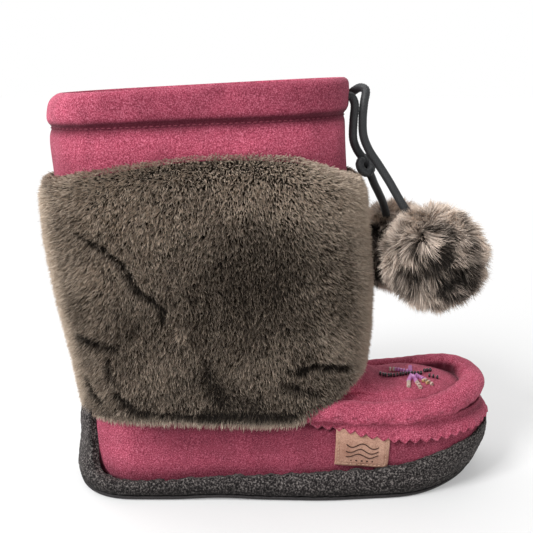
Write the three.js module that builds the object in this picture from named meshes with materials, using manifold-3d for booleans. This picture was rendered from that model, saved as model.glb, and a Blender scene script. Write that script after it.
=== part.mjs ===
// Mukluk boot: suede moccasin foot with a rolled apron seam, a tall shaft with a drawstring casing,
// a deep fur cuff, a felt rand on a thin rubber sole, and a tied cord with two fur pompoms.
// Millimetres. +X points to the toe, -Y is the outer side of the foot and +Z is up. The boot stands on Z = 0.
import * as THREE from "three";
import { mergeVertices } from "three/addons/utils/BufferGeometryUtils.js";
import Module from "manifold-3d";

const wasm = await Module();
wasm.setup();

// Driving dimensions.
const HEEL_BACK = -121.8; // back of the felt rand
const TOE_TIP = 137; // front of the felt rand
const SOLE_THICK = 2.8; // rubber outsole
const INSOLE_THICK = 3.6;
const JOINT_GAP = 0.3; // between two pieces that touch
const HEEL_ROUND = 42; // reach of the round heel, seen from above
const TOE_ROUND = 52; // reach of the round toe, seen from above
const TOE_FULLNESS = 2.2; // power of the toe's curve: 2 is an ellipse, more is squarer
const TOE_SPRING = 8; // rise of the sole at the tip
const SPRING_START = 85;
const ARCH_RISE = 1;
const ARCH_BACK = -60;
const ARCH_FRONT = 0;
const SPRING_FADE = 50; // height at which the upper no longer follows the toe spring
const VAMP_BACK = 5; // the front inset of a section grows from here ...
const VAMP_FRONT = 55; // ... to here
const FELT_THICK = 2.6; // up the heel and round the toe
const HEEL_STRIP_TOP = 42;
const ROLL_RADIUS = 7.3; // the fat seam round the plug
const ROLL_INSET = 11.2; // from the rand's outline to the middle of the roll
const ROLL_END = 26; // the roll runs under the fur to here on both sides
const TAG_THICK = 1.7;
const CORD_RADIUS = 2.5;
const EXIT_SIDE = 6; // the two cord exits lie this far from the middle of the casing
const EXIT_HEIGHT = 230.5;
const EXIT_RADIUS = 2.9;
const EXIT_DEPTH = 3.6;
const SOLE_HEEL_ROUND = 39; // the sole's heel is squarer than the upper's
const SOLE_HEEL_FULLNESS = 2.35;
const TUCK_START = 66; // from here to the toe's curve the sole draws in under the toe
const TUCK_FULL = 122;
const FLARE_END = 20; // behind here the felt spreads out over the floor ...
const FLARE_GONE = 75; // ... and in front of here it doesn't
const DIP_MIDDLE = 62; // the plug dips in front of the shaft
const DIP_REACH = 18;
const AROUND = 48; // facets round each section
const CORD_SIDES = 8;
const ROLL_SIDES = 12;
const ROLL_STEPS = 38;
const DRILL_SIDES = 12;
const BALL_AROUND = 18; // facets round a pompom ...
const BALL_UP = 10; // ... and from its foot to its top
const KNOT_AROUND = 12;
const KNOT_UP = 8;
const BEYOND = 60; // farther than any part of the boot from its middle plane

// Half widths of the rand's outline on the outer and the inner side.
const OUTLINE = [
  { x: -124, outer: 42.6, inner: 41 },
  { x: -80, outer: 44.6, inner: 41.5 },
  { x: -30, outer: 44.6, inner: 37 },
  { x: 10, outer: 45.4, inner: 38 },
  { x: 50, outer: 47, inner: 43.5 },
  { x: 75, outer: 47, inner: 45 },
  { x: 110, outer: 46, inner: 45.5 },
  { x: 138, outer: 44, inner: 46 },
];

// Sections of the upper from the sole to the casing. foot is 1 where a section has the foot's outline, set
// in by rearIn and foreIn, and 0 where it is an oval of half width half. wall is the thickness inside it.
// dip is how far it sinks in front of the shaft.
const SECTION = [
  "name", "back", "front", "zBack", "zFront", "rearIn", "foreIn", "foot", "half", "round", "wall", "dip",
];
const section = (...values) => Object.fromEntries(SECTION.map((column, i) => [column, values[i] ?? 0]));
const UPPER = [
  section("base", -113.8, 124, 3.1, 3.1, 9.5, 12, 1, 40, 50, 2.4),
  section("low", -116.8, 127.8, 8.5, 8.5, 7, 8.6, 1, 40, 51, 2.6),
  section("rand", -117.8, 132, 20, 20, 5.2, 4.8, 1, 40, 52, 2.6),
  section("side", -117.4, 133.4, 31, 31, 4.4, 2.6, 1, 40, 52, 2.6),
  section("brow", -116.8, 132.6, 40, 41, 4.4, 3.4, 1, 40, 52, 2.6),
  section("crease", -116.4, 130, 47, 48.5, 4.6, 6.4, 0.95, 40, 52, 2.6),
  section("edge", -116.2, 125, 53.5, 53, 4.8, 11.5, 0.85, 40, 53, 2.6, 1.6),
  section("plug", -116, 116, 57.5, 56, 5, 17, 0.7, 40, 54, 2.6, 4.6),
  section("dome", -116.2, 103, 61, 58.4, 5.2, 30, 0.55, 40, 60, 2.6, 4),
  section("vamp", -116.2, 86, 65, 59.4, 5.4, 38, 0.4, 40, 62, 2.6, 3),
  section("instep", -116.4, 70, 70, 60.2, 5.4, 28, 0.3, 40, 60, 2.6, 1.5),
  section("throat", -116.6, 57, 76, 67.5, 5.4, 12, 0.15, 40.5, 56, 2.6),
  section("shin", -117, 52.5, 86, 80, 5, 5, 0, 41, 54, 2.6),
  section("ankle", -118.4, 51, 105, 103, 5, 5, 0, 41.5, 54, 2.6),
  section("calf", -122.5, 48.5, 140, 140, 5, 5, 0, 41, 54, 2.6),
  section("high", -125.5, 44.5, 180, 182, 5, 5, 0, 40, 54, 2.6),
  section("collar", -126.4, 42.4, 203, 210, 5, 5, 0, 39.2, 54, 2.6),
  section("seam", -125.8, 41.8, 213.4, 220.5, 5, 5, 0, 38.6, 54, 3),
  section("casing", -127.2, 43.4, 218.8, 226, 5, 5, 0, 39.8, 54, 5.4),
  section("top", -125.6, 43.6, 226.8, 235.5, 5, 5, 0, 39.8, 54, 5.4),
  section("fold", -121.8, 43, 231, 239.2, 5, 5, 0, 38.8, 54, 4.6),
];
const LIP = section("lip", -119, 40.8, 232.4, 241, 5, 5, 0, 36.6, 54);

// Sections of the sole and of the rand's outer face: inset from the outline at a height above the sole's
// line, how much more a section is drawn in under the toe, and how far it flares out behind the forefoot.
const OUTSOLE = [
  { z: 0, inset: 1.8, tuck: 8.6, flare: 4 },
  { z: 0.7, inset: 1, tuck: 8.2, flare: 4.2 },
  { z: SOLE_THICK, inset: 1, tuck: 8, flare: 4.2 },
];
const INSOLE = [
  { z: SOLE_THICK + JOINT_GAP, inset: 15.6, tuck: 4, flare: 0 },
  { z: SOLE_THICK + JOINT_GAP + INSOLE_THICK, inset: 13.8, tuck: 4, flare: 0 },
];
const RAND = [
  { z: SOLE_THICK + JOINT_GAP, inset: 1.4, tuck: 7.8, flare: 4.2 },
  { z: 4.6, inset: 0.5, tuck: 7.4, flare: 4.4 },
  { z: 8, inset: 0, tuck: 6.2, flare: 3.6 },
  { z: 12, inset: 0, tuck: 4.8, flare: 1.6 },
  { z: 17, inset: 0.6, tuck: 2.8, flare: 0.3 },
  { z: 24, inset: 0.4, tuck: 1, flare: 0 },
  { z: 38, inset: 0.4, tuck: 0, flare: 0 },
];
// Upper edge of the rand, seen from the side: up the heel, along the foot, and over the toe.
const RAND_EDGE = [
  { x: -140, z: HEEL_STRIP_TOP },
  { x: -111.6, z: HEEL_STRIP_TOP },
  { x: -110, z: 26 },
  { x: -107, z: 16 },
  { x: -101, z: 12 },
  { x: -60, z: 12 },
  { x: 0, z: 14.5 },
  { x: 48, z: 18 },
  { x: 68, z: 20 },
  { x: 84, z: 23.6 },
  { x: 99, z: 28.6 },
  { x: 114, z: 32 },
  { x: 127, z: 34.4 },
  { x: 145, z: 36 },
];
// Height of the roll's middle line along the foot, on the outer side and on the inner side.
const ROLL_HEIGHT = [
  { x: ROLL_END, outer: 51.5, inner: 49.6 },
  { x: 61, outer: 50, inner: 48 },
  { x: 81, outer: 50.4, inner: 49 },
  { x: 100, outer: 53, inner: 52.6 },
  { x: 116, outer: 57, inner: 57 },
  { x: 130, outer: 59.4, inner: 59.4 },
];

// The fur cuff: its lower and upper edges along the boot, and its sections from the lower edge (0) to the
// upper (1).
const CUFF_EDGES = [
  { x: -140, low: 42, high: 185 },
  { x: -118, low: 43, high: 187 },
  { x: -98, low: 48, high: 192 },
  { x: -40, low: 47.5, high: 200.5 },
  { x: 10, low: 46.5, high: 200 },
  { x: 26, low: 50, high: 195 },
  { x: 42, low: 60, high: 188 },
  { x: 66, low: 71, high: 180 },
];
const CUFF = [
  { share: 0, back: -119, front: 56, half: 44, round: 54 },
  { share: 0.05, back: -120.6, front: 60, half: 48.5, round: 55 },
  { share: 0.25, back: -125.4, front: 62.6, half: 50, round: 56 },
  { share: 0.5, back: -132, front: 62.2, half: 50, round: 56 },
  { share: 0.75, back: -136.4, front: 58.8, half: 49.8, round: 56 },
  { share: 0.93, back: -137, front: 56.6, half: 49, round: 56 },
  { share: 0.985, back: -133.6, front: 52.4, half: 45.6, round: 55 },
  { share: 1, back: -129, front: 47, half: 42, round: 54 },
];

// Corners of the sewn tag on the outer side, seen from the side.
const TAG_CORNERS = [
  { x: 36.8, z: 21.4 },
  { x: 67.8, z: 20.6 },
  { x: 68.4, z: 41 },
  { x: 37.4, z: 43.4 },
];

// Middle lines of the drawcord. The far cord arches out of the casing and hangs to the near pompom; the near
// cord runs down to the knot and on to the far pompom.
const FAR_CORD = [
  [41.6, 6, 230.5],
  [44.4, 6, 230.8],
  [47.2, 5, 233],
  [50.6, 2, 235],
  [53.2, -2.4, 233.4],
  [52, -6, 226.5],
  [51.4, -7, 217.5],
  [52.2, -7, 208.5],
  [55.6, -7, 200.5],
  [61.2, -7.4, 192.4],
  [67.4, -9, 183],
  [74.2, -11.4, 171.6],
  [77, -12.2, 167.2],
];
const NEAR_CORD = [
  [41.6, -6, 230.5],
  [44.6, -6.2, 230.2],
  [46.7, -6.8, 226],
  [46.3, -7, 217.5],
  [46.4, -6.2, 207.5],
  [49, -2.6, 200.8],
];
const NEAR_CORD_END = [
  [59.4, 4.8, 183.2],
  [61.6, 8.4, 178.8],
  [65.2, 13.6, 172.6],
  [69, 20, 165.6],
  [72, 25.8, 157.6],
];
const KNOT = { x: 54.6, y: 1.6, z: 192.6, radius: 5.4, stretch: 1.5, lean: 0.5 };
const POMPOMS = [
  { name: "pompom_near", x: 94, y: -17, z: 141, radius: 30.5 },
  { name: "pompom_far", x: 80.5, y: 42.5, z: 134, radius: 29 },
];

const MATERIALS = {
  suede: new THREE.MeshStandardMaterial({ color: 0xab5067, roughness: 0.95 }),
  felt: new THREE.MeshStandardMaterial({ color: 0x504848, roughness: 1 }),
  rubber: new THREE.MeshStandardMaterial({ color: 0x242226, roughness: 0.8 }),
  fleece: new THREE.MeshStandardMaterial({ color: 0xd8cbb8, roughness: 1 }),
  fur: new THREE.MeshStandardMaterial({ color: 0x4b3f35, roughness: 1 }),
  leather: new THREE.MeshStandardMaterial({ color: 0xb58c78, roughness: 0.7 }),
  cord: new THREE.MeshStandardMaterial({ color: 0x2a2b2e, roughness: 0.8 }),
};

const lerp = THREE.MathUtils.lerp;
const smoothstep = THREE.MathUtils.smoothstep;

// The value of a table's column at x, on a smooth curve through its rows.
function tableAt(table, column, x) {
  const last = table.length - 1;
  const next = table.findIndex((row) => row.x > x);
  if (next === 0) return table[0][column];
  if (next === -1) return table[last][column];
  const slope = (i) => {
    const a = table[Math.max(i - 1, 0)];
    const b = table[Math.min(i + 1, last)];
    return (b[column] - a[column]) / (b.x - a.x);
  };
  const from = table[next - 1];
  const to = table[next];
  const span = to.x - from.x;
  const t = (x - from.x) / span;
  const ease = t * t * (3 - 2 * t);
  const leave = t * (1 - t) * (1 - t) * span * slope(next - 1);
  const arrive = t * t * (t - 1) * span * slope(next);
  return lerp(from[column], to[column], ease) + leave + arrive;
}

// How far the sole's line lies above the floor: the arch and the toe spring.
function soleLine(x) {
  const arch = THREE.MathUtils.clamp((x - ARCH_BACK) / (ARCH_FRONT - ARCH_BACK), 0, 1);
  const spring = Math.max(0, (x - SPRING_START) / (TOE_TIP - SPRING_START));
  return ARCH_RISE * Math.sin(Math.PI * arch) ** 2 + TOE_SPRING * spring ** 2;
}

// 0 at the end of an outline, growing to 1 at the distance round from it.
function closing(distance, round, power) {
  const rest = Math.max(0, 1 - Math.max(0, distance) / round);
  return (1 - rest ** power) ** (1 / power);
}

// One section, seen from above: points from the toe round by +Y. widthAt and heightAt take a point's x.
function ring(back, front, round, widthAt, heightAt, heel = { round: HEEL_ROUND, power: 2 }) {
  return Array.from({ length: AROUND }, (_, i) => {
    const angle = (2 * Math.PI * i) / AROUND;
    const x = lerp(back, front, (1 + Math.cos(angle)) / 2);
    const side = Math.sign(Math.round(Math.sin(angle) * 1e6));
    const ends = closing(x - back, heel.round, heel.power) * closing(front - x, round, TOE_FULLNESS);
    return new THREE.Vector3(x, side * widthAt(x, side) * ends, heightAt(x));
  });
}

function outlineWidth(x, side) {
  return tableAt(OUTLINE, side < 0 ? "outer" : "inner", x);
}

function upperRing(row) {
  const widthAt = (x, side) => {
    const inset = lerp(row.rearIn, row.foreIn, smoothstep(x, VAMP_BACK, VAMP_FRONT));
    return lerp(row.half, outlineWidth(x, side) - inset, row.foot);
  };
  const heightAt = (x) => {
    const level = lerp(row.zBack, row.zFront, (x - row.back) / (row.front - row.back));
    const z = level - row.dip * Math.exp(-(((x - DIP_MIDDLE) / DIP_REACH) ** 2));
    return z + soleLine(x) * Math.max(0, 1 - z / SPRING_FADE);
  };
  return ring(row.back, row.front, row.round, widthAt, heightAt);
}

function soleRing({ z, inset, tuck, flare }) {
  const widthAt = (x, side) => {
    const drawnIn = tuck * smoothstep(x, TUCK_START, TUCK_FULL);
    const flaredOut = flare * (1 - smoothstep(x, FLARE_END, FLARE_GONE));
    return outlineWidth(x, side) - inset - drawnIn + flaredOut;
  };
  const heightAt = (x) => z + soleLine(x) * Math.max(0, 1 - z / SPRING_FADE);
  const heel = { round: SOLE_HEEL_ROUND, power: SOLE_HEEL_FULLNESS };
  return ring(HEEL_BACK + inset, TOE_TIP - inset - tuck, TOE_ROUND, widthAt, heightAt, heel);
}

// A section of the cuff, larger by grow all round.
function cuffRing(row, grow) {
  const heightAt = (x) => {
    const low = tableAt(CUFF_EDGES, "low", x) - grow;
    return lerp(low, tableAt(CUFF_EDGES, "high", x), row.share);
  };
  return ring(row.back - grow, row.front + grow, row.round, () => row.half + grow, heightAt);
}

// Unit normals of a stack of sections, facing out.
function normalsOf(rings) {
  const last = rings.length - 1;
  return rings.map((points, r) =>
    points.map((_, i) => {
      const round = points[(i + 1) % AROUND].clone().sub(points[(i + AROUND - 1) % AROUND]);
      const up = rings[Math.min(r + 1, last)][i].clone().sub(rings[Math.max(r - 1, 0)][i]);
      return round.cross(up).normalize();
    }),
  );
}

const UPPER_RINGS = UPPER.map(upperRing);
const UPPER_NORMALS = normalsOf(UPPER_RINGS);

// The upper's outer face moved out along its normals, in by a negative distance.
function upperFace(distanceOf) {
  return UPPER_RINGS.map((points, r) =>
    points.map((p, i) => p.clone().addScaledVector(UPPER_NORMALS[r][i], distanceOf(UPPER[r]))),
  );
}

// A body whose face runs up through the rings. The ends are capped, or the last ring joins the first.
function bodyOf(rings, joined) {
  const corners = [];
  const quad = (low, high) => {
    for (let i = 0; i < AROUND; i++) {
      const j = (i + 1) % AROUND;
      corners.push(low[i], low[j], high[j], low[i], high[j], high[i]);
    }
  };
  rings.slice(1).forEach((high, r) => quad(rings[r], high));
  const first = rings[0];
  const last = rings.at(-1);
  if (joined) {
    quad(last, first);
  } else {
    corners.push(...cap(first).reverse(), ...cap(last));
  }
  return solidOf(new THREE.BufferGeometry().setFromPoints(corners));
}

// Triangles that close a ring, in strips across the boot, so that a cap follows the sole's line.
function cap(points) {
  const corners = [];
  for (let i = 0; i < AROUND / 2; i++) {
    const across = points[(AROUND - i) % AROUND];
    const next = points[AROUND - i - 1];
    if (i > 0) corners.push(points[i], points[i + 1], across);
    if (i + 1 < AROUND / 2) corners.push(points[i + 1], next, across);
  }
  return corners;
}

function solidOf(geometry) {
  const bare = geometry.index ? geometry.toNonIndexed() : geometry.clone();
  bare.deleteAttribute("normal");
  bare.deleteAttribute("uv");
  const merged = mergeVertices(bare, 1e-3);
  const vertProperties = merged.attributes.position.array;
  const triVerts = new Uint32Array(merged.index.array);
  return new wasm.Manifold(new wasm.Mesh({ numProp: 3, vertProperties, triVerts }));
}

function meshOf(name, solid, material) {
  const { numProp, vertProperties, triVerts } = solid.getMesh();
  const geometry = new THREE.BufferGeometry()
    .setAttribute("position", new THREE.BufferAttribute(vertProperties.slice(), numProp))
    .setIndex(new THREE.BufferAttribute(triVerts.slice(), 1));
  const mesh = new THREE.Mesh(geometry, material);
  mesh.name = name;
  return mesh;
}

// A prism through the whole width of the boot, from an outline seen from the side.
function sidePrism(corners, yFrom, yTo) {
  const shape = new THREE.Shape(corners.map((c) => new THREE.Vector2(c.x, c.z)));
  const prism = new THREE.ExtrudeGeometry(shape, { depth: yTo - yFrom, bevelEnabled: false });
  return solidOf(prism.rotateX(Math.PI / 2).translate(0, yTo, 0));
}

function tube(points, radius, sides, steps) {
  const circle = new THREE.Shape().absarc(0, 0, radius, 0, 2 * Math.PI);
  const path = new THREE.CatmullRomCurve3(points);
  const options = { steps, curveSegments: sides / 2, extrudePath: path, bevelEnabled: false };
  return solidOf(new THREE.ExtrudeGeometry(circle, options));
}

// The upper as a cutter that leaves the joint gap, drawn on below the sole's line.
function upperCutter() {
  const face = upperFace(() => JOINT_GAP);
  const below = face[0].map((p) => p.clone().setZ(p.z - 2 * SOLE_THICK));
  return bodyOf([below, ...face], false);
}

function upper() {
  const outside = UPPER_RINGS;
  const inside = upperFace((row) => -row.wall).reverse();
  const shell = bodyOf([...outside, upperRing(LIP), ...inside], true);
  return [-EXIT_SIDE, EXIT_SIDE].reduce((solid, y) => solid.subtract(cordExit(y)), shell);
}

// A blind round hole into the front of the casing.
function cordExit(y) {
  const reach = 2 * EXIT_DEPTH;
  const casingFront = UPPER.find((row) => row.name === "casing").front;
  const drill = new THREE.CylinderGeometry(EXIT_RADIUS, EXIT_RADIUS, reach, DRILL_SIDES).rotateZ(Math.PI / 2);
  return solidOf(drill.translate(casingFront - EXIT_DEPTH + reach / 2, y, EXIT_HEIGHT));
}

function feltRand(cutter) {
  const bulge = bodyOf(RAND.map(soleRing), false);
  const skin = bodyOf(upperFace(() => FELT_THICK), false);
  const floor = SOLE_THICK + JOINT_GAP;
  const first = RAND_EDGE[0];
  const last = RAND_EDGE.at(-1);
  const corners = [{ x: first.x, z: floor }, { x: last.x, z: floor }, ...RAND_EDGE.toReversed()];
  const wide = { inset: -2 * TOE_SPRING, tuck: 0, flare: 0 };
  const underSole = bodyOf([{ z: -SOLE_THICK, ...wide }, { z: floor, ...wide }].map(soleRing), false);
  const within = sidePrism(corners, -BEYOND, BEYOND);
  return largestOf(bulge.add(skin).intersect(within).subtract(underSole).subtract(cutter));
}

// The main body of a cut solid, without the slivers that thin out at its edges.
function largestOf(solid) {
  return solid.decompose().sort((a, b) => b.volume() - a.volume())[0];
}

function cuffBody(grow) {
  return bodyOf(CUFF.map((row) => cuffRing(row, grow)), false);
}

function apronRoll(cutter) {
  const widest = soleRing({ z: 0, inset: ROLL_INSET, tuck: 0, flare: 0 });
  const start = widest.findIndex((p) => p.y > 0 && p.x < ROLL_END);
  const path = [...widest.slice(AROUND - start), ...widest.slice(0, start + 1)];
  path.forEach((p) => p.setZ(tableAt(ROLL_HEIGHT, p.y < 0 ? "outer" : "inner", p.x)));
  return tube(path, ROLL_RADIUS, ROLL_SIDES, ROLL_STEPS).subtract(cutter).subtract(cuffBody(2 * JOINT_GAP));
}

function sideTag(cutter) {
  const skin = bodyOf(upperFace(() => JOINT_GAP + TAG_THICK), false);
  return skin.intersect(sidePrism(TAG_CORNERS, -BEYOND, 0)).subtract(cutter);
}

function knot() {
  const ball = new THREE.SphereGeometry(KNOT.radius, KNOT_AROUND, KNOT_UP).scale(1, 1, KNOT.stretch);
  return solidOf(ball.rotateY(-KNOT.lean).translate(KNOT.x, KNOT.y, KNOT.z));
}

function cordTube(points) {
  const middles = points.map((p) => new THREE.Vector3(...p));
  return tube(middles, CORD_RADIUS, CORD_SIDES, 2 * points.length);
}

function buildBoot() {
  const boot = new THREE.Group();
  const shell = upper();
  const cutter = upperCutter().add(shell);
  const add = (name, solid, material) => boot.add(meshOf(name, solid, material));
  add("outsole", bodyOf(OUTSOLE.map(soleRing), false), MATERIALS.rubber);
  add("insole", bodyOf(INSOLE.map(soleRing), false), MATERIALS.fleece);
  add("felt_rand", feltRand(cutter), MATERIALS.felt);
  add("upper", shell, MATERIALS.suede);
  add("apron_roll", apronRoll(cutter), MATERIALS.suede);
  add("side_tag", sideTag(cutter), MATERIALS.leather);
  add("fur_cuff", cuffBody(0).subtract(cutter), MATERIALS.fur);
  add("drawcord_far", cordTube(FAR_CORD), MATERIALS.cord);
  add("drawcord_near", cordTube(NEAR_CORD), MATERIALS.cord);
  add("drawcord_near_end", cordTube(NEAR_CORD_END), MATERIALS.cord);
  add("cord_knot", knot(), MATERIALS.cord);
  for (const { name, x, y, z, radius } of POMPOMS) {
    const ball = new THREE.SphereGeometry(radius, BALL_AROUND, BALL_UP);
    add(name, solidOf(ball.translate(x, y, z)), MATERIALS.fur);
  }
  return boot;
}

export default buildBoot();
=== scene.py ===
"""A mukluk boot: berry suede, a felt rand, a deep fur cuff, and a tied drawcord with two fur pompoms."""

import math

import bmesh
import bpy
import numpy as np
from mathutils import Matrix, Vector
from mathutils.bvhtree import BVHTree


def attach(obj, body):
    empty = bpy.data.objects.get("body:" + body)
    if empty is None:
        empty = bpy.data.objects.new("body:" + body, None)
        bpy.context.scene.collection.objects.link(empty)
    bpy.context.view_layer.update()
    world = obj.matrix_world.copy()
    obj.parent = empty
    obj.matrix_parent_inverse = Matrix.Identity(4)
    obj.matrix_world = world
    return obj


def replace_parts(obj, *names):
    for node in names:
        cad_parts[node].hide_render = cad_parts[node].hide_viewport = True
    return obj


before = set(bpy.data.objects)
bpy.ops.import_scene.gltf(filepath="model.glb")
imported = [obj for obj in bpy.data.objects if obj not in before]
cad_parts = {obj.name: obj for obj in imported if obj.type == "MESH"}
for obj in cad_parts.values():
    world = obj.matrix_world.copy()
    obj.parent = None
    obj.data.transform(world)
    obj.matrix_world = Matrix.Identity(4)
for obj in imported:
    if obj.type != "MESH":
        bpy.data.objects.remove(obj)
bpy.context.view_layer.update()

MM = 0.001

# ---------------- camera

CAMERA_PLACE = (-2.9, -430.0, 245.0)
CAMERA_DIP = 15.0  # degrees below the horizon
CAMERA_LENS = 49.7
SENSOR = 36.0


def make_camera():
    data = bpy.data.cameras.new("camera")
    data.lens = CAMERA_LENS
    data.sensor_width = SENSOR
    data.clip_start = 0.01
    camera = bpy.data.objects.new("camera", data)
    camera.location = Vector(CAMERA_PLACE) * MM
    camera.rotation_euler = (math.radians(90 - CAMERA_DIP), 0, 0)
    bpy.context.collection.objects.link(camera)
    bpy.context.scene.camera = camera


make_camera()

# ---------------- small tools


def srgb(red, green, blue):
    """A colour as it is seen on a screen, 0 to 255, as the linear colour that shaders take."""
    shares = np.array([red, green, blue]) / 255
    linear = np.where(shares <= 0.04045, shares / 12.92, ((shares + 0.055) / 1.055) ** 2.4)
    return (*linear.tolist(), 1.0)


def grey(value):
    return (value, value, value, 1.0)


def along_table(keys, values, x):
    """The value at x on a smooth curve through a table's rows."""
    keys = np.asarray(keys, float)
    values = np.asarray(values, float)
    last = len(keys) - 1
    x = np.clip(x, keys[0], keys[-1])
    here = np.clip(np.searchsorted(keys, x, side="right") - 1, 0, last - 1)
    before = np.maximum(np.arange(last + 1) - 1, 0)
    after = np.minimum(np.arange(last + 1) + 1, last)
    slope = (values[after] - values[before]) / (keys[after] - keys[before])
    span = keys[here + 1] - keys[here]
    t = (x - keys[here]) / span
    ease = t * t * (3 - 2 * t)
    leave = t * (1 - t) ** 2 * span * slope[here]
    arrive = t * t * (t - 1) * span * slope[here + 1]
    return values[here] * (1 - ease) + values[here + 1] * ease + leave + arrive


def smoothstep(x, low, high):
    t = np.clip((x - low) / (high - low), 0, 1)
    return t * t * (3 - 2 * t)


def between(x, start, full, fade, end):
    """1 between full and fade, and softly down to 0 at start and end."""
    return smoothstep(x, start, full) * smoothstep(-x, -end, -fade)


def lerp(a, b, t):
    return a * (1 - t) + b * t


def bell(x, middle, reach):
    return np.exp(-(((x - middle) / reach) ** 2))


def table_columns(table, key, *columns):
    """The values at key of some of a table's columns, on straight lines through its rows."""
    return [np.interp(key, table[:, 0], table[:, i]) for i in columns]


def walked_along(points):
    """The length walked from the first point to each one."""
    return np.concatenate([[0], np.cumsum(np.linalg.norm(np.diff(points, axis=0), axis=1))])


def unit(vectors):
    return vectors / np.maximum(np.linalg.norm(vectors, axis=-1, keepdims=True), 1e-9)


def mottle(points, size, seed, waves=9):
    """Soft blotches about size across, from -1 to 1: a sum of waves in seeded directions."""
    rng = np.random.default_rng(seed)
    total = np.zeros(len(points))
    for _ in range(waves):
        direction = unit(rng.normal(size=3)) * 2 * np.pi / (size * rng.uniform(0.7, 1.7))
        total += np.sin(points @ direction + rng.uniform(0, 2 * np.pi))
    return total / math.sqrt(waves)


SHEET_THICK = 1.3


def thicken(sheet, offset):
    wall = sheet.modifiers.new("wall", "SOLIDIFY")
    wall.thickness = SHEET_THICK * MM
    wall.offset = offset


def finish_piece(obj, material):
    obj.data.materials.append(material)
    obj.data.shade_smooth()
    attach(obj, "root")
    return obj


def woven(name, across, along, place, closed=True, capped=False):
    """A grid at the points that place(u, v) gives, u and v from 0 to 1, with named shares for its vertices.

    A closed one is welded at its seam, and a capped one is shut at both ends.
    """
    bm = bmesh.new()
    bmesh.ops.create_grid(bm, x_segments=across, y_segments=along, size=0.5)
    flat = np.array([vert.co[:2] for vert in bm.verts]) + 0.5
    places, shares = place(flat[:, 0], flat[:, 1])
    layer = bm.loops.layers.uv.new("UVMap")
    for face in bm.faces:
        for loop in face.loops:
            loop[layer].uv = flat[loop.vert.index]
    for share, values in shares.items():
        store = bm.verts.layers.float.new(share)
        for vert, value in zip(bm.verts, values):
            vert[store] = value
    for vert, point in zip(bm.verts, places * MM):
        vert.co = point
    if closed:
        bmesh.ops.remove_doubles(bm, verts=bm.verts, dist=2e-6)
    if capped:
        bmesh.ops.holes_fill(bm, edges=[edge for edge in bm.edges if edge.is_boundary])
    return placed(name, bm)


def placed(name, bm):
    """The finished bmesh as an object at the origin."""
    mesh = bpy.data.meshes.new(name)
    bm.to_mesh(mesh)
    bm.free()
    obj = bpy.data.objects.new(name, mesh)
    bpy.context.collection.objects.link(obj)
    return obj


# ---------------- the last

HEEL_BACK = -121.8
TOE_TIP = 136.6
TOE_ROUND = 52.0
TOE_FULLNESS = 2.2
TOE_SPRING = 8.0
SPRING_START = 85.0
ARCH_RISE = 1.0
ARCH_BACK = -60.0
ARCH_FRONT = 0.0
SPRING_FADE = 50.0
UPPER_HEEL = (42.0, 2.0)  # reach of the round heel and the power of its curve
SOLE_HEEL = (39.0, 2.35)
TUCK_START = 66.0  # from here to the toe's curve the sole draws in under the toe
TUCK_FULL = 122.0
VAMP_BACK = 5.0
VAMP_FRONT = 55.0
FLARE_END = 20.0  # behind here the felt spreads out over the floor
FLARE_GONE = 75.0
DIP_MIDDLE = 62.0  # the plug dips in front of the shaft
DIP_REACH = 18.0

# x, half width on the outer side, half width on the inner side
OUTLINE = np.array([
    (-124, 42.6, 41), (-80, 44.6, 41.5), (-30, 44.6, 37), (10, 45.4, 38),
    (50, 47, 43.5), (75, 47, 45), (110, 46, 45.5), (138, 44, 46),
], float)

UPPER_COLUMNS = (
    "back", "front", "z_back", "z_front", "rear_in", "fore_in", "foot", "half", "round", "wall", "dip",
)
UPPER_ROWS = {
    "base": (-113.8, 124, 3.1, 3.1, 9.5, 12, 1, 40, 50, 2.4, 0),
    "low": (-116.8, 127.8, 8.5, 8.5, 7, 8.6, 1, 40, 51, 2.6, 0),
    "rand": (-117.8, 132, 20, 20, 5.2, 4.8, 1, 40, 52, 2.6, 0),
    "side": (-117.4, 133.4, 31, 31, 4.4, 2.6, 1, 40, 52, 2.6, 0),
    "brow": (-116.8, 132.6, 40, 41, 4.4, 3.4, 1, 40, 52, 2.6, 0),
    "crease": (-116.4, 130, 47, 48.5, 4.6, 6.4, 0.95, 40, 52, 2.6, 0),
    "edge": (-116.2, 125, 53.5, 53, 4.8, 11.5, 0.85, 40, 53, 2.6, 1.6),
    "plug": (-116, 116, 57.5, 56, 5, 17, 0.7, 40, 54, 2.6, 4.6),
    "dome": (-116.2, 103, 61, 58.4, 5.2, 30, 0.55, 40, 60, 2.6, 4),
    "vamp": (-116.2, 86, 65, 59.4, 5.4, 38, 0.4, 40, 62, 2.6, 3),
    "instep": (-116.4, 70, 70, 60.2, 5.4, 28, 0.3, 40, 60, 2.6, 1.5),
    "throat": (-116.6, 57, 76, 67.5, 5.4, 12, 0.15, 40.5, 56, 2.6, 0),
    "shin": (-117, 52.5, 86, 80, 5, 5, 0, 41, 54, 2.6, 0),
    "ankle": (-118.4, 51, 105, 103, 5, 5, 0, 41.5, 54, 2.6, 0),
    "calf": (-122.5, 48.5, 140, 140, 5, 5, 0, 41, 54, 2.6, 0),
    "high": (-125.5, 44.5, 180, 182, 5, 5, 0, 40, 54, 2.6, 0),
    "collar": (-126.4, 42.4, 203, 210, 5, 5, 0, 39.2, 54, 2.6, 0),
    "seam": (-125.8, 41.8, 213.4, 220.5, 5, 5, 0, 38.6, 54, 3, 0),
    "casing": (-127.2, 43.4, 218.8, 226, 5, 5, 0, 39.8, 54, 5.4, 0),
    "top": (-125.6, 43.6, 226.8, 235.5, 5, 5, 0, 39.8, 54, 5.4, 0),
    "fold": (-121.8, 43, 231, 239.2, 5, 5, 0, 38.8, 54, 4.6, 0),
    "lip": (-119, 40.8, 232.4, 241, 5, 5, 0, 36.6, 54, 2.3, 0),
}
UPPER_NAMES = list(UPPER_ROWS)
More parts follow.
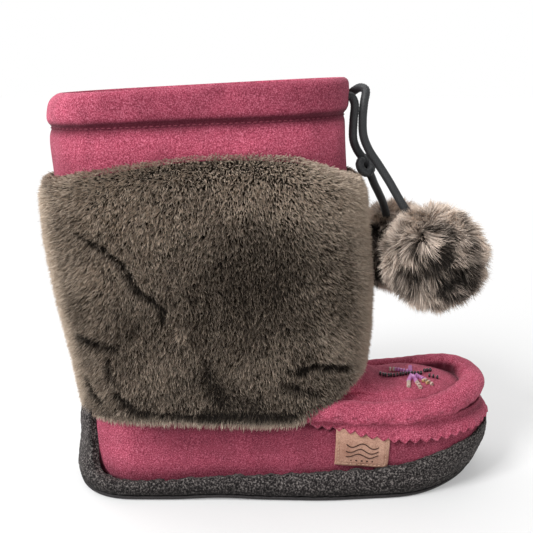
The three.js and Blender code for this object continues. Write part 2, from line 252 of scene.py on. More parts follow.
UPPER = np.array(list(UPPER_ROWS.values()), float)
FOLD_LEVEL = UPPER_NAMES.index("fold")
SEAM_LEVEL = UPPER_NAMES.index("seam")


def outline_width(x, outer):
    on_outer = along_table(OUTLINE[:, 0], OUTLINE[:, 1], x)
    on_inner = along_table(OUTLINE[:, 0], OUTLINE[:, 2], x)
    return np.where(outer, on_outer, on_inner)


def sole_line(x):
    """How far the sole's line lies above the floor: the arch and the toe spring."""
    arch = np.clip((x - ARCH_BACK) / (ARCH_FRONT - ARCH_BACK), 0, 1)
    spring = np.maximum(0, (x - SPRING_START) / (TOE_TIP - SPRING_START))
    return ARCH_RISE * np.sin(np.pi * arch) ** 2 + TOE_SPRING * spring**2


def closing(distance, reach, power):
    rest = np.maximum(0, 1 - np.maximum(0, distance) / reach)
    return (1 - rest**power) ** (1 / power)


def ring_side(u):
    """x share and side of a point a share u of the way round, from the toe by +Y."""
    angle = 2 * np.pi * u
    return (1 + np.cos(angle)) / 2, np.sign(np.round(np.sin(angle), 9))


def ring_ends(x, back, front, reach, heel=UPPER_HEEL):
    return closing(x - back, *heel) * closing(front - x, reach, TOE_FULLNESS)


def upper_column(name, level):
    return np.interp(level, range(len(UPPER)), UPPER[:, UPPER_COLUMNS.index(name)])


def upper_base(u, level):
    row = {name: along_table(range(len(UPPER)), UPPER[:, i], level) for i, name in enumerate(UPPER_COLUMNS)}
    share, side = ring_side(u)
    x = lerp(row["back"], row["front"], share)
    inset = lerp(row["rear_in"], row["fore_in"], smoothstep(x, VAMP_BACK, VAMP_FRONT))
    width = lerp(row["half"], outline_width(x, side < 0) - inset, row["foot"])
    z = lerp(row["z_back"], row["z_front"], share) - row["dip"] * bell(x, DIP_MIDDLE, DIP_REACH)
    z = z + sole_line(x) * np.maximum(0, 1 - z / SPRING_FADE)
    return np.stack([x, side * width * ring_ends(x, row["back"], row["front"], row["round"]), z], axis=1)


def upper_normal(u, level):
    step = 0.002
    rise = 0.05
    round_way = upper_base(u + step, level) - upper_base(u - step, level)
    up_way = upper_base(u, np.minimum(level + rise, FOLD_LEVEL)) - upper_base(u, np.maximum(level - rise, 0))
    return unit(np.cross(round_way, up_way))


def upper_point(u, level, out=0.0):
    """A point of the upper's outer face, moved out along its normal."""
    out = np.broadcast_to(np.asarray(out, float), np.shape(u))
    return upper_base(u, level) + upper_normal(u, level) * out[:, None]


def sole_point(u, z, inset, tuck=0.0, flare=0.0):
    share, side = ring_side(u)
    back = HEEL_BACK + inset
    front = TOE_TIP - inset - tuck
    x = lerp(back, front, share)
    drawn_in = tuck * smoothstep(x, TUCK_START, TUCK_FULL)
    flared_out = flare * (1 - smoothstep(x, FLARE_END, FLARE_GONE))
    width = outline_width(x, side < 0) - inset - drawn_in + flared_out
    lift = sole_line(x) * np.maximum(0, 1 - z / SPRING_FADE)
    return np.stack([x, side * width * ring_ends(x, back, front, TOE_ROUND, SOLE_HEEL), z + lift], axis=1)


# ---------------- shader groups


MIX_FACTOR, MIX_FIRST, MIX_SECOND, MIX_RESULT = 0, 6, 7, 2  # the mix node's sockets for colours


class Graph:
    """A node tree with short calls for adding and joining nodes."""

    def __init__(self, tree):
        self.tree = tree

    def join(self, out, into):
        self.tree.links.new(out, into)

    def feed(self, made, given):
        """Set a node's inputs to numbers or colours, or join other nodes' outputs to them."""
        for name, value in given.items():
            if isinstance(value, (int, float, tuple)):
                made.inputs[name].default_value = value
            else:
                self.join(value, made.inputs[name])

    def node(self, kind, given=None, **settings):
        made = self.tree.nodes.new(kind)
        for name, value in settings.items():
            setattr(made, name, value)
        self.feed(made, given or {})
        return made

    def place(self):
        return self.node("ShaderNodeTexCoord").outputs["Object"]

    def share(self, name):
        return self.node("ShaderNodeAttribute", attribute_name=name).outputs["Fac"]

    def noise(self, vector, scale, detail=2.0, rough=0.6):
        given = {"Vector": vector, "Scale": scale, "Detail": detail, "Roughness": rough}
        return self.node("ShaderNodeTexNoise", given).outputs["Fac"]

    def math(self, operation, first, second):
        return self.node("ShaderNodeMath", {0: first, 1: second}, operation=operation).outputs[0]

    def spread(self, value, low, high, to_low=0.0, to_high=1.0):
        given = {"Value": value, "From Min": low, "From Max": high, "To Min": to_low, "To Max": to_high}
        return self.node("ShaderNodeMapRange", given).outputs["Result"]

    def mix(self, share, first, second):
        given = {MIX_FACTOR: share, MIX_FIRST: first, MIX_SECOND: second}
        return self.node("ShaderNodeMix", data_type="RGBA", given=given).outputs[MIX_RESULT]

    def ramp(self, value, stops):
        made = self.node("ShaderNodeValToRGB", {"Fac": value})
        elements = made.color_ramp.elements
        while len(elements) < len(stops):
            elements.new(0.5)
        for element, (place, colour) in zip(elements, stops):
            element.position = place
            element.color = colour
        return made.outputs["Color"]

    def bump(self, height, strength, distance):
        given = {"Height": height, "Strength": strength, "Distance": distance}
        return self.node("ShaderNodeBump", given).outputs["Normal"]


def nap_group():
    """Short nap on suede, felt and fleece: colour flecks, brushed patches and a height for bump."""
    tree = bpy.data.node_groups.new("nap", "ShaderNodeTree")
    for side, kind, names in (
        ("INPUT", "Color", ("Colour", "Light", "Dark")),
        ("INPUT", "Float", ("Fleck Scale", "Patch Scale")),
        ("OUTPUT", "Color", ("Result",)),
        ("OUTPUT", "Float", ("Height",)),
    ):
        for name in names:
            tree.interface.new_socket(name, in_out=side, socket_type=f"NodeSocket{kind}")
    graph = Graph(tree)
    given = graph.node("NodeGroupInput")
    result = graph.node("NodeGroupOutput")
    place = graph.place()
    fleck = graph.noise(place, given.outputs["Fleck Scale"], 3.0, 0.7)
    patch = graph.noise(place, given.outputs["Patch Scale"], 3.0, 0.6)
    lit = graph.mix(graph.spread(fleck, 0.5, 0.66), given.outputs["Colour"], given.outputs["Light"])
    dark = graph.mix(graph.spread(fleck, 0.5, 0.34), lit, given.outputs["Dark"])
    brushed = graph.spread(patch, 0.3, 0.7, 0.8, 1.16)
    tone = graph.node("ShaderNodeHueSaturation", {"Color": dark, "Value": brushed})
    graph.join(tone.outputs["Color"], result.inputs["Result"])
    graph.join(graph.math("ADD", fleck, graph.math("MULTIPLY", patch, 0.35)), result.inputs["Height"])
    return tree


NAP = nap_group()


def new_material(name, rough, specular=0.5, sheen=0.0, sheen_tint=None, sheen_rough=0.5):
    material = bpy.data.materials.new(name)
    material.use_nodes = True
    shader = material.node_tree.nodes["Principled BSDF"]
    graph = Graph(material.node_tree)
    graph.feed(shader, {"Roughness": rough, "Specular IOR Level": specular})
    if sheen:
        graph.feed(shader, {"Sheen Weight": sheen, "Sheen Roughness": sheen_rough, "Sheen Tint": sheen_tint})
    return material, graph, shader


def napped_material(name, colour, light, dark, painted_shade_colour, fleck, patch, bump, sheen, sheen_tint):
    """Suede, felt or fleece. A piece's painted shade, its shade share from 0 to 1, turns it toward a dark
    colour of painted shade.
    """
    material, graph, shader = new_material(name, 0.95, 0.15, sheen, sheen_tint, 0.45)
    nap = graph.node("ShaderNodeGroup", node_tree=NAP)
    for socket, value in zip(nap.inputs, (colour, light, dark, fleck, patch)):
        socket.default_value = value
    # Painted shade: the shade share darkens the nap's colour.
    graph.join(graph.mix(graph.share("shade"), nap.outputs["Result"], painted_shade_colour), shader.inputs["Base Color"])
    graph.join(graph.bump(nap.outputs["Height"], bump, 0.0006), shader.inputs["Normal"])
    return material


def rubber_material():
    material, graph, shader = new_material("sole_rubber", 0.75, 0.4)
    place = graph.place()
    grain = graph.noise(place, 900.0, 2.0)
    bands = {"Vector": place, "Scale": 62.0, "Distortion": 3.0, "Detail Scale": 0.6}
    tread = graph.node("ShaderNodeTexWave", bands, wave_type="BANDS", bands_direction="X")
    graph.join(graph.mix(grain, srgb(24, 22, 24), srgb(52, 48, 48)), shader.inputs["Base Color"])
    height = graph.math("ADD", tread.outputs["Fac"], graph.math("MULTIPLY", grain, 0.4))
    graph.join(graph.bump(height, 0.5, 0.0006), shader.inputs["Normal"])
    return material


def tag_material():
    material, graph, shader = new_material("tan_leather", 0.6, 0.35)
    place = graph.place()
    pores = graph.noise(place, 1400.0, 3.0, 0.7)
    shade = graph.noise(place, 120.0, 3.0)
    body = graph.mix(graph.spread(shade, 0.3, 0.7), srgb(152, 110, 92), srgb(190, 150, 130))
    dotted = graph.mix(graph.spread(pores, 0.55, 0.4, 0, 0.5), body, srgb(116, 80, 64))
    graph.join(dotted, shader.inputs["Base Color"])
    graph.join(graph.bump(pores, 0.35, 0.0004), shader.inputs["Normal"])
    return material


def two_tone(name, dark, light, grain=2500.0, rough=0.7, specular=0.3):
    material, graph, shader = new_material(name, rough, specular)
    graph.join(graph.mix(graph.noise(graph.place(), grain), dark, light), shader.inputs["Base Color"])
    return material


def cord_material():
    material, graph, shader = new_material("braided_cord", 0.55, 0.45, 0.1, srgb(150, 155, 160))
    surface = graph.node("ShaderNodeUVMap", uv_map="UVMap").outputs["UV"]
    fibre = graph.noise(surface, 160.0, 2.0)
    # Painted shade: the braid's valleys darker and its yarns lighter.
    lit = graph.mix(graph.spread(graph.share("braid"), 0.1, 0.95), srgb(6, 7, 9), srgb(44, 46, 48))
    fuzzy = graph.mix(graph.spread(fibre, 0.4, 0.7, 0, 0.3), lit, srgb(78, 79, 79))
    graph.join(fuzzy, shader.inputs["Base Color"])
    graph.join(graph.bump(fibre, 0.25, 0.0002), shader.inputs["Normal"])
    return material


def fur_material(name, stops, frost_and_highlight):
    """Fur coloured from root to tip by the strand's own shares: along its length, and how frosted it is, a
    share that also carries painted highlight.
    """
    material, graph, shader = new_material(name, 0.75, 0.2, 0.1, srgb(210, 190, 170))
    strand = graph.node("ShaderNodeAttribute", attribute_name="strand")
    parts = graph.node("ShaderNodeSeparateColor", {"Color": strand.outputs["Color"]})
    base = graph.ramp(parts.outputs["Red"], stops)
    toned = graph.mix(parts.outputs["Green"], srgb(14, 11, 9), base)
    tips = graph.math("MULTIPLY", parts.outputs["Blue"], graph.spread(parts.outputs["Red"], 0.22, 0.92))
    graph.join(graph.mix(tips, toned, frost_and_highlight), shader.inputs["Base Color"])
    return material


def bead_material(name, colour, see_through):
    material, graph, shader = new_material(name, 0.12, 0.6)
    place = graph.place()
    cloud = graph.noise(place, 500.0)
    cloudy = graph.mix(graph.spread(cloud, 0.3, 0.7, 0, 0.4 * see_through), colour, grey(1.0))
    graph.feed(shader, {"Base Color": cloudy, "Coat Weight": 0.4, "Transmission Weight": see_through})
    return material


FUR_STOPS = (
    (0.0, srgb(8, 7, 5)),
    (0.4, srgb(28, 23, 18)),
    (0.72, srgb(82, 71, 61)),
    (1.0, srgb(182, 165, 147)),
)
POM_STOPS = (
    (0.0, srgb(5, 4, 4)),
    (0.5, srgb(26, 21, 19)),
    (0.78, srgb(92, 78, 68)),
    (1.0, srgb(226, 206, 188)),
)

# Each napped material's darkest colour is the one that its painted shade turns toward.
SUEDE = napped_material(
    "berry_suede", colour=srgb(166, 70, 92), light=srgb(213, 122, 143), dark=srgb(113, 38, 56),
    painted_shade_colour=srgb(60, 13, 26), fleck=1450.0, patch=70.0, bump=0.7, sheen=0.2, sheen_tint=srgb(240, 170, 185),
)
FELT = napped_material(
    "heather_felt", colour=srgb(44, 40, 40), light=srgb(130, 124, 121), dark=srgb(9, 8, 9),
    painted_shade_colour=srgb(16, 15, 15), fleck=900.0, patch=110.0, bump=0.9, sheen=0.1, sheen_tint=srgb(190, 185, 182),
)
FLEECE = napped_material(
    "lining_fleece", colour=srgb(200, 186, 168), light=srgb(232, 222, 208), dark=srgb(150, 136, 118),
    painted_shade_colour=srgb(90, 80, 70), fleck=420.0, patch=90.0, bump=1.0, sheen=0.3, sheen_tint=srgb(255, 250, 240),
)
RUBBER = rubber_material()
TAN = tag_material()
STAMP = two_tone("tag_stamp", srgb(46, 32, 30), srgb(88, 60, 52), grain=900.0, rough=0.8, specular=0.2)
CORD = cord_material()
FUR = fur_material("cuff_fur", FUR_STOPS, srgb(208, 191, 173))
POM_FUR = fur_material("pompom_fur", POM_STOPS, srgb(226, 210, 196))
BERRY_THREAD = two_tone("berry_thread", srgb(84, 26, 42), srgb(124, 50, 66))
TAN_THREAD = two_tone("tan_thread", srgb(150, 112, 92), srgb(214, 184, 162))

# ---------------- cords

CORD_ACROSS = 5.0
CORD_RADIUS = CORD_ACROSS / 2
BRAID_YARNS = 8  # yarns that turn each way
BRAID_PITCH = 13.0  # length of one turn of a yarn
BRAID_DEPTH = 0.34
CORD_STEP = 0.36

FAR_ROUTE = [
    (41.6, 6, 230.5), (44.4, 6, 230.8), (47.2, 5, 233), (50.6, 2, 235), (53.2, -2.4, 233.4), (52, -6, 226.5),
    (51.4, -7, 217.5), (52.2, -7, 208.5), (55.6, -7, 200.5), (61.2, -7.4, 192.4), (67.4, -9, 183),
    (74.2, -11.4, 171.6), (79, -12.8, 164.2),
]
NEAR_ROUTE = [
    (41.6, -6, 230.5), (44.6, -6.2, 230.2), (46.7, -6.8, 226), (46.3, -7, 217.5), (46.4, -6.2, 207.5),
    (49, -2.6, 200.8), (53.4, 0.6, 194.6), (57, 2.8, 188), (59.4, 4.8, 183.2), (61.6, 8.4, 178.8),
    (65.2, 13.6, 172.6), (69, 20, 165.6), (73, 27.2, 155.4),
]
KNOT_TURN = [
    (52.6, -1.8, 195.2), (51, -3.6, 192.2), (52.2, -4.4, 188.8), (55.2, -4.2, 187), (57.8, -2.4, 188.6),
    (58, 1.6, 192), (56.2, 5, 194.4), (53.4, 5, 195),
]


def smooth_route(points, step):
    """Evenly spaced points on a smooth curve through the route's points."""
    points = np.array(points, float)
    keys = np.concatenate([[0], np.cumsum(np.sqrt(np.linalg.norm(np.diff(points, axis=0), axis=1)))])
    fine = np.linspace(0, keys[-1], 1200)
    curve = np.stack([along_table(keys, points[:, i], fine) for i in range(3)], axis=1)
    walked = walked_along(curve)
    even = np.linspace(0, walked[-1], max(2, round(walked[-1] / step)) + 1)
    return np.stack([np.interp(even, walked, curve[:, i]) for i in range(3)], axis=1), walked[-1]


def frames_along(centres):
    """Two directions across a route at each of its points, turned as little as possible."""
    ways = unit(np.gradient(centres, axis=0))
    side = unit(np.cross(ways[0], [0.3, 1, 0.2]))
    sides = []
    for way in ways:
        side = unit(side - way * side.dot(way))
        sides.append(side)
    sides = np.array(sides)
    return sides, np.cross(ways, sides)


def braid_height(around, length):
    """0 in the valleys of a braid and 1 on its yarns, at an angle round the cord and a length along it."""
    turn = length * 2 * np.pi / BRAID_PITCH
    one = BRAID_YARNS * (around + turn) / 2
    other = BRAID_YARNS * (around - turn) / 2
    return np.sqrt(np.abs(np.sin(one) * np.sin(other)))


def braided_tube(name, route, radius=CORD_RADIUS, across=40):
    centres, length = smooth_route(route, CORD_STEP)
    sides, ups = frames_along(centres)
    rows = len(centres) - 1

    def place(u, v):
        index = np.clip(np.round(v * rows).astype(int), 0, rows)
        around = 2 * np.pi * u
        height = braid_height(around, v * length)
        ends = smoothstep(v * length, -0.1, 0.8) * smoothstep((1 - v) * length, -0.1, 0.8)
        reach = (radius - BRAID_DEPTH * (1 - height)) * lerp(0.7, 1, ends)
        spoke = sides[index] * np.cos(around)[:, None] + ups[index] * np.sin(around)[:, None]
        return centres[index] + spoke * reach[:, None], {"braid": height}

    cord = woven(name, across, rows, place, capped=True)
    return finish_piece(cord, CORD), centres * MM, length * MM


far_cord, far_path, far_length = braided_tube("drawcord_to_near_pompom", FAR_ROUTE)
near_cord, near_path, near_length = braided_tube("drawcord_to_far_pompom", NEAR_ROUTE)
knot_turn, _, _ = braided_tube("knot_turn", KNOT_TURN)
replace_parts(far_cord, "drawcord_far")
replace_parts(near_cord, "drawcord_near", "drawcord_near_end")
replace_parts(knot_turn, "cord_knot")

# ---------------- suede upper and lining

UPPER_AROUND = 240
UPPER_ALONG = 180
ROLL_GROOVE = 1.7
GROOVE_HEIGHT = 45.0
GROOVE_WIDE = 2.4
PLUG_RIM = UPPER_NAMES.index("edge") + 0.6
SEAM_RISE = 5.5  # how far a level rises at the casing's seam
SEAM_DEPTH = 0.9
SEAM_WIDTH = 1.5
# width of the painted shade along the casing's seam
SEAM_PAINTED_SHADE_WIDTH = 2.6
PUCKER_PITCH = 11.0
PUCKER_DEPTH = 0.27
PUCKER_OFF = 5.0  # how far the puckers lie from the seam, and how far they reach
PUCKER_REACH = 6.0
WAVE_DEPTH = 0.28
WAVE_SIZE = 34.0
PILE_DEPTH = 2.3
PILE_ROUGH = 0.3
BEYOND = 999.0  # farther than any part of the boot

# Bands of painted shade on the suede: how dark, then in x where the band starts, is full, fades and ends,
# and then the same in z. They are the wall under the fur, the foot's side, and the shaft at the fur's top.
PAINTED_SHADE_BANDS = [
    (0.4, -98, -60, BEYOND, BEYOND + 1, 16, 40, 44, 52),
    (0.22, -98, -40, 80, 108, -BEYOND - 1, -BEYOND, 44, 50),
    (0.25, -BEYOND - 1, -BEYOND, BEYOND, BEYOND + 1, 180, 188, 196, 206),
]

# Dents in the suede: the side it is on, its place along and up the boot, its slant in degrees,
# how far it runs each way, how wide it is, and its depth, with a ridge as a negative depth.
CREASES = [
    (-1, -96, 30, 72, 14, 6, 0.9), (-1, -82, 34, 100, 12, 7, -0.7), (-1, -60, 40, 15, 26, 5, 0.7),
    (-1, 4, 38, -12, 24, 5, 0.8), (-1, 22, 32, -28, 16, 5, -0.6), (-1, 100, 33, 20, 14, 4, 0.6),
    (-1, -92, 206, 82, 12, 8, 1.1), (-1, -60, 226, 96, 9, 7, 0.6), (-1, -10, 209, 88, 11, 10, -0.9),
    (-1, 22, 225, 78, 9, 6, 0.7), (-1, -38, 205, 8, 26, 4, 0.7), (-1, 30, 205, 100, 10, 5, 0.7),
    (1, -84, 205, 80, 12, 8, 1.1), (1, -20, 208, 96, 11, 10, -0.9), (1, 18, 226, 84, 9, 6, 0.7),
    (1, -70, 32, 10, 26, 6, 0.7), (1, 10, 34, -14, 24, 5, 0.8), (1, 70, 34, 12, 18, 5, 0.5),
]


def crease_depth(points):
    total = np.zeros(len(points))
    for side, x, z, slant, run, width, depth in CREASES:
        turn = math.radians(slant)
        dx = points[:, 0] - x
        dz = points[:, 2] - z
        along = dx * math.cos(turn) + dz * math.sin(turn)
        across = dz * math.cos(turn) - dx * math.sin(turn)
        on_side = smoothstep(points[:, 1] * side, 4, 22)
        total += depth * on_side * np.exp(-((along / run) ** 2) - (across / width) ** 2)
    return total


def roll_groove(z, x):
    """1 in the groove under the apron roll, and 0 away from it."""
    return bell(z, GROOVE_HEIGHT, GROOVE_WIDE) * smoothstep(x, 12, 28)


def suede_relief(level, points):
    """How far the suede lies off its plain form: creases, the seam and its puckers, and a slight wave."""
    from_seam = (level - SEAM_LEVEL) * SEAM_RISE
    seam = SEAM_DEPTH * bell(from_seam, 0, SEAM_WIDTH)
    on_shaft = smoothstep(level, SEAM_LEVEL - 1.6, SEAM_LEVEL - 0.6)
    beside = bell(np.abs(from_seam), PUCKER_OFF, PUCKER_REACH) * on_shaft
    pucker = PUCKER_DEPTH * beside * mottle(points * [1, 1, 0.15], PUCKER_PITCH, 5)
    wave = WAVE_DEPTH * mottle(points, WAVE_SIZE, 11) * smoothstep(level, 1.5, 3.5)
    groove = ROLL_GROOVE * roll_groove(points[:, 2], points[:, 0])
    return wave + pucker - seam - groove - crease_depth(points)


def suede_surface(u, level, out=0.0):
    base = upper_base(u, level)
    relief = suede_relief(level, base) * smoothstep(FOLD_LEVEL + 1 - level, 0, 1.5)
    return base + upper_normal(u, np.minimum(level, FOLD_LEVEL)) * (relief + out)[:, None]


def suede_painted_shade(level, points):
    """Painted shade on the suede: the bands, the casing and its seam, the plug's rim and the roll's groove.
    """
    x, z = points[:, 0], points[:, 2]
    above_seam = level - SEAM_LEVEL
    seam = 0.85 * bell(above_seam * SEAM_RISE, 0, SEAM_PAINTED_SHADE_WIDTH)
    # painted shade: the casing darker toward the front, away from the light at the heel side
    casing = 0.34 * smoothstep(above_seam, 0, 0.4) * smoothstep(x, -112, -60)
    casing_foot = 0.22 * between(above_seam, -0.1, 0.1, 0.2, 1.1)
    plug_rim = 0.85 * smoothstep(x, 40, 60) * bell(level, PLUG_RIM, 0.6)
    bands = sum(amount * between(x, *places[:4]) * between(z, *places[4:]) for amount, *places in PAINTED_SHADE_BANDS)
    return np.clip(seam + casing + casing_foot + plug_rim + bands + 0.5 * roll_groove(z, x), 0, 0.9)


def make_suede():
    """The suede from the sole up to the lip, and down a little way inside the collar."""
    inside_share = 0.1
    turn = 1 - inside_share

    def place(u, v):
        on_outside = v <= turn
        level = np.where(on_outside, np.clip(v / turn, 0, 1) * (FOLD_LEVEL + 1), 0)
        back_in = np.clip((v - turn) / inside_share, 0, 1)
        inner_level = lerp(FOLD_LEVEL, SEAM_LEVEL - 0.4, back_in)
        outer = suede_surface(u, level)
        lip = upper_base(u, np.full_like(u, FOLD_LEVEL + 1.0))
        inner = upper_point(u, inner_level, -upper_column("wall", inner_level))
        inner = lerp(lip, inner, smoothstep(back_in, -0.05, 0.22)[:, None])
        return np.where(on_outside[:, None], outer, inner), {"shade": suede_painted_shade(level, outer) * on_outside}

    suede = finish_piece(woven("suede_upper", UPPER_AROUND, UPPER_ALONG, place), SUEDE)
    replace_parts(suede, "upper")
    return suede


def make_lining():
    """Fleece inside the boot, from the casing's seam down to the insole."""

    def place(u, v):
        level = lerp(SEAM_LEVEL + 0.2, 0.15, v)
        pile = lerp(PILE_DEPTH, -0.7, smoothstep(level, SEAM_LEVEL - 0.3, SEAM_LEVEL + 0.1))
        points = upper_point(u, level, -upper_column("wall", level) - pile)
        return points - upper_normal(u, level) * (PILE_ROUGH * mottle(points, 5.0, 21))[:, None], {}

    return finish_piece(woven("lining", 160, 90, place), FLEECE)


suede_upper = make_suede()
make_lining()

# ---------------- sole, insole and felt rand

# height above the sole's line, inset from the outline, how much more it is drawn in under the toe, its flare
SOLE_PROFILE = np.array([
    (0, 5, 9.2, 4), (0, 3, 9, 4), (0.25, 2.1, 8.7, 4.1), (0.8, 1.3, 8.4, 4.2), (1.9, 1, 8.2, 4.2),
    (2.5, 1.2, 8.1, 4.2), (2.8, 2, 8, 4.2), (2.8, 6, 8, 4.2),
])
FELT_PROFILE = np.array([
    (3.1, 5.4, 7.8, 4.2), (3.15, 2.4, 7.8, 4.2), (3.7, 1, 7.7, 4.3), (5, 0.3, 7.3, 4.4), (7.4, 0, 6.5, 3.8),
    (9, 0, 6, 3.2),
])
FELT_WALL = np.array([
    (9, 0, 6, 3.2), (12, 0, 4.8, 1.6), (17, 0.5, 2.8, 0.3), (24, 0.4, 1, 0), (38, 0.4, 0, 0), (42, 0.9, 0, 0),
    (54, 2.5, 0, 0),
])
# x, height of the rand's upper edge
FELT_EDGE = np.array([
    (-140, 50), (-112, 50), (-110.6, 30), (-107.6, 17), (-101.6, 12.4), (-60, 12), (0, 14.5), (48, 18),
    (68, 20), (84, 23.6), (99, 28.6), (114, 32), (127, 34.6), (145, 36.4),
])
FELT_EDGE_WAVE = 0.45
FELT_EDGE_FUZZ = 0.3
FELT_EDGE_ROUND = 3.6
FELT_ROUGH = 0.3
FELT_MIDDLE = (10, 0, 10)
FELT_BEND = 0.4  # the share of the rand's section below its widest line
FELT_ROOF = 0.86  # the share of it below its upper edge
HEEL_LEAN = 2.0  # how far the heel strip leans in toward its top


def make_outsole():
    steps = np.linspace(0, 1, len(SOLE_PROFILE))

    def place(u, v):
        z, inset, tuck, flare = (np.interp(v, steps, SOLE_PROFILE[:, i]) for i in range(4))
        return sole_point(u, z, inset, tuck, flare), {}

    sole = woven("rubber_outsole", 240, 14, place, capped=True)
    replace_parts(finish_piece(sole, RUBBER), "outsole")


def felt_surface(u, v):
    """The rand's outer face: v runs up its section, and past FELT_ROOF it turns in over the edge."""
    share, _ = ring_side(u)
    x = lerp(HEEL_BACK, TOE_TIP, share)
    edge = along_table(FELT_EDGE[:, 0], FELT_EDGE[:, 1], x)
    flat = np.stack([x, np.sin(2 * np.pi * u) * 45, np.zeros_like(x)], axis=1)
    edge = edge + FELT_EDGE_WAVE * mottle(flat, 13.0, 31) + FELT_EDGE_FUZZ * mottle(flat, 3.2, 32)
    steps = np.linspace(0, FELT_BEND, len(FELT_PROFILE))
    under = [np.interp(v, steps, FELT_PROFILE[:, i]) for i in range(4)]
    up = np.clip((v - FELT_BEND) / (FELT_ROOF - FELT_BEND), 0, 1)
    z_wall = lerp(FELT_WALL[0, 0], edge, up)
    wall_inset, wall_tuck, wall_flare = table_columns(FELT_WALL, z_wall, 1, 2, 3)
    over = np.clip((v - FELT_ROOF) / (1 - FELT_ROOF), 0, 1)
    round_over = 1 - np.sqrt(np.maximum(0, 1 - over**2))
    lean = HEEL_LEAN * smoothstep(z_wall, 13, 30) * smoothstep(-x, 98, 112)
    drawn_in = wall_inset + lean + FELT_EDGE_ROUND * round_over + 0.9 * smoothstep(up, 0.7, 1)
    below = v <= FELT_BEND
    upper_part = (z_wall - 0.5 * over**3, drawn_in, wall_tuck, wall_flare)
    z, inset, tuck, flare = (np.where(below, low, high) for low, high in zip(under, upper_part))
    return sole_point(u, z - 0.7 * round_over, inset, tuck, flare)


def make_felt():
    def place(u, v):
        points = felt_surface(u, v)
        out = unit((points - FELT_MIDDLE) * [0.25, 1, 0.6])
        rough = FELT_ROUGH * (0.6 * mottle(points, 6.0, 41) + 0.6 * mottle(points, 2.2, 42))
        height = points[:, 2] - sole_line(points[:, 0])
        # Painted shade: the rand darker toward its lower edge.
        return points + out * rough[:, None], {"shade": 0.75 * smoothstep(-height, -13, -3)}

    felt = woven("heather_felt_rand", 600, 38, place)
    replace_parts(finish_piece(felt, FELT), "felt_rand")


def dress_insole():
    data = bpy.data.objects["insole"].data
    data.materials.clear()
    data.materials.append(FLEECE)


make_outsole()
make_felt()
dress_insole()

# ---------------- apron roll and pinked skirt

ROLL_RADIUS = 7.3
ROLL_INSET = 11.2
ROLL_END = 20.0
ROLL_ROWS = 380
GATHER_PITCH = 8.2
GATHER_DEPTH = 0.42
# x, height of the roll's middle line on the outer side and on the inner side
ROLL_HEIGHT = np.array([
    (20, 51.5, 49.6), (26, 51.5, 49.6), (61, 50, 48), (81, 50.4, 49), (100, 53, 52.6), (116, 57, 57),
    (130, 59.4, 59.4),
])
WALL_ROWS = 8  # the upper's rows up the foot's wall
SKIRT_START = 24.0
SKIRT_LEVEL = 4.0
TOOTH_FACETS = 12
SKIRT_PITCH = 6.2
SKIRT_TOOTH = 2.3
SKIRT_OFF = 1.5
SKIRT_TOP = 48.0
SKIRT_LIFT_OVER_TAG = 2.3
# x, height of the skirt's zig-zag edge
SKIRT_EDGE = np.array([
    (24, 45), (42, 42.6), (55, 40), (68, 37.4), (87, 36.9), (99, 37.6), (112, 38.2), (134, 38.4),
])


def round_the_toe(point_at, start_x):
    """Shares u of a section round the toe from start_x to start_x, and the length walked to each."""
    u = np.linspace(-0.5, 0.5, 4001)
    points = point_at(u)
    kept = points[:, 0] >= start_x
    return u[kept], walked_along(points[kept])


def roll_centre(u):
    points = sole_point(u, np.zeros_like(u), np.full_like(u, ROLL_INSET))
    outer, inner = (along_table(ROLL_HEIGHT[:, 0], ROLL_HEIGHT[:, i], points[:, 0]) for i in (1, 2))
    points[:, 2] = np.where(points[:, 1] < 0, outer, inner)
    return points


def make_roll():
    shares, walked = round_the_toe(roll_centre, ROLL_END)
    stations = np.linspace(0, walked[-1], ROLL_ROWS + 1)
    centres = roll_centre(np.interp(stations, walked, shares))
    ways = unit(np.gradient(centres, axis=0))
    outs = unit(np.cross(ways, [0, 0, 1.0]))
    ups = np.cross(outs, ways)
    gathers = np.sin(2 * np.pi * stations / GATHER_PITCH + 1.4 * mottle(centres, 30, 51))

    def place(u, v):
        index = np.clip(np.round(v * ROLL_ROWS).astype(int), 0, ROLL_ROWS)
        around = 2 * np.pi * u
        out = np.cos(around)
        up = np.sin(around)
        pulled_in = bell(around, np.pi * 0.86, 0.5) + bell(around, np.pi * 1.72, 0.42)
        crest = bell(around, np.pi * 0.4, 0.8)
        spoke = outs[index] * out[:, None] + ups[index] * up[:, None]
        points = centres[index] + spoke * ROLL_RADIUS
        wave = 0.3 * mottle(points, 17.0, 53)
        reach = wave + (GATHER_DEPTH * pulled_in + 0.1 * crest) * gathers[index]
        # Painted shade: darker on the roll's underside, on the side turned in, and on the far roll's inner
        # wall.
        under = 0.8 * smoothstep(-up, 0.35, 0.95)
        painted_far_shade = smoothstep(points[:, 1], 0, 12) * smoothstep(-out, 0, 0.7) * smoothstep(-up, -0.75, -0.1)
        shade = under + 0.3 * smoothstep(-out, 0.6, 1) + painted_far_shade
        return points + spoke * reach[:, None], {"shade": np.clip(shade, 0, 0.95)}

    roll = woven("apron_roll_suede", 40, ROLL_ROWS, place, capped=True)
    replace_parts(finish_piece(roll, SUEDE), "apron_roll")


def level_at(z):
    """The upper's level at a height on the foot's wall."""
    return np.interp(z, UPPER[:WALL_ROWS, UPPER_COLUMNS.index("z_back")], np.arange(WALL_ROWS))


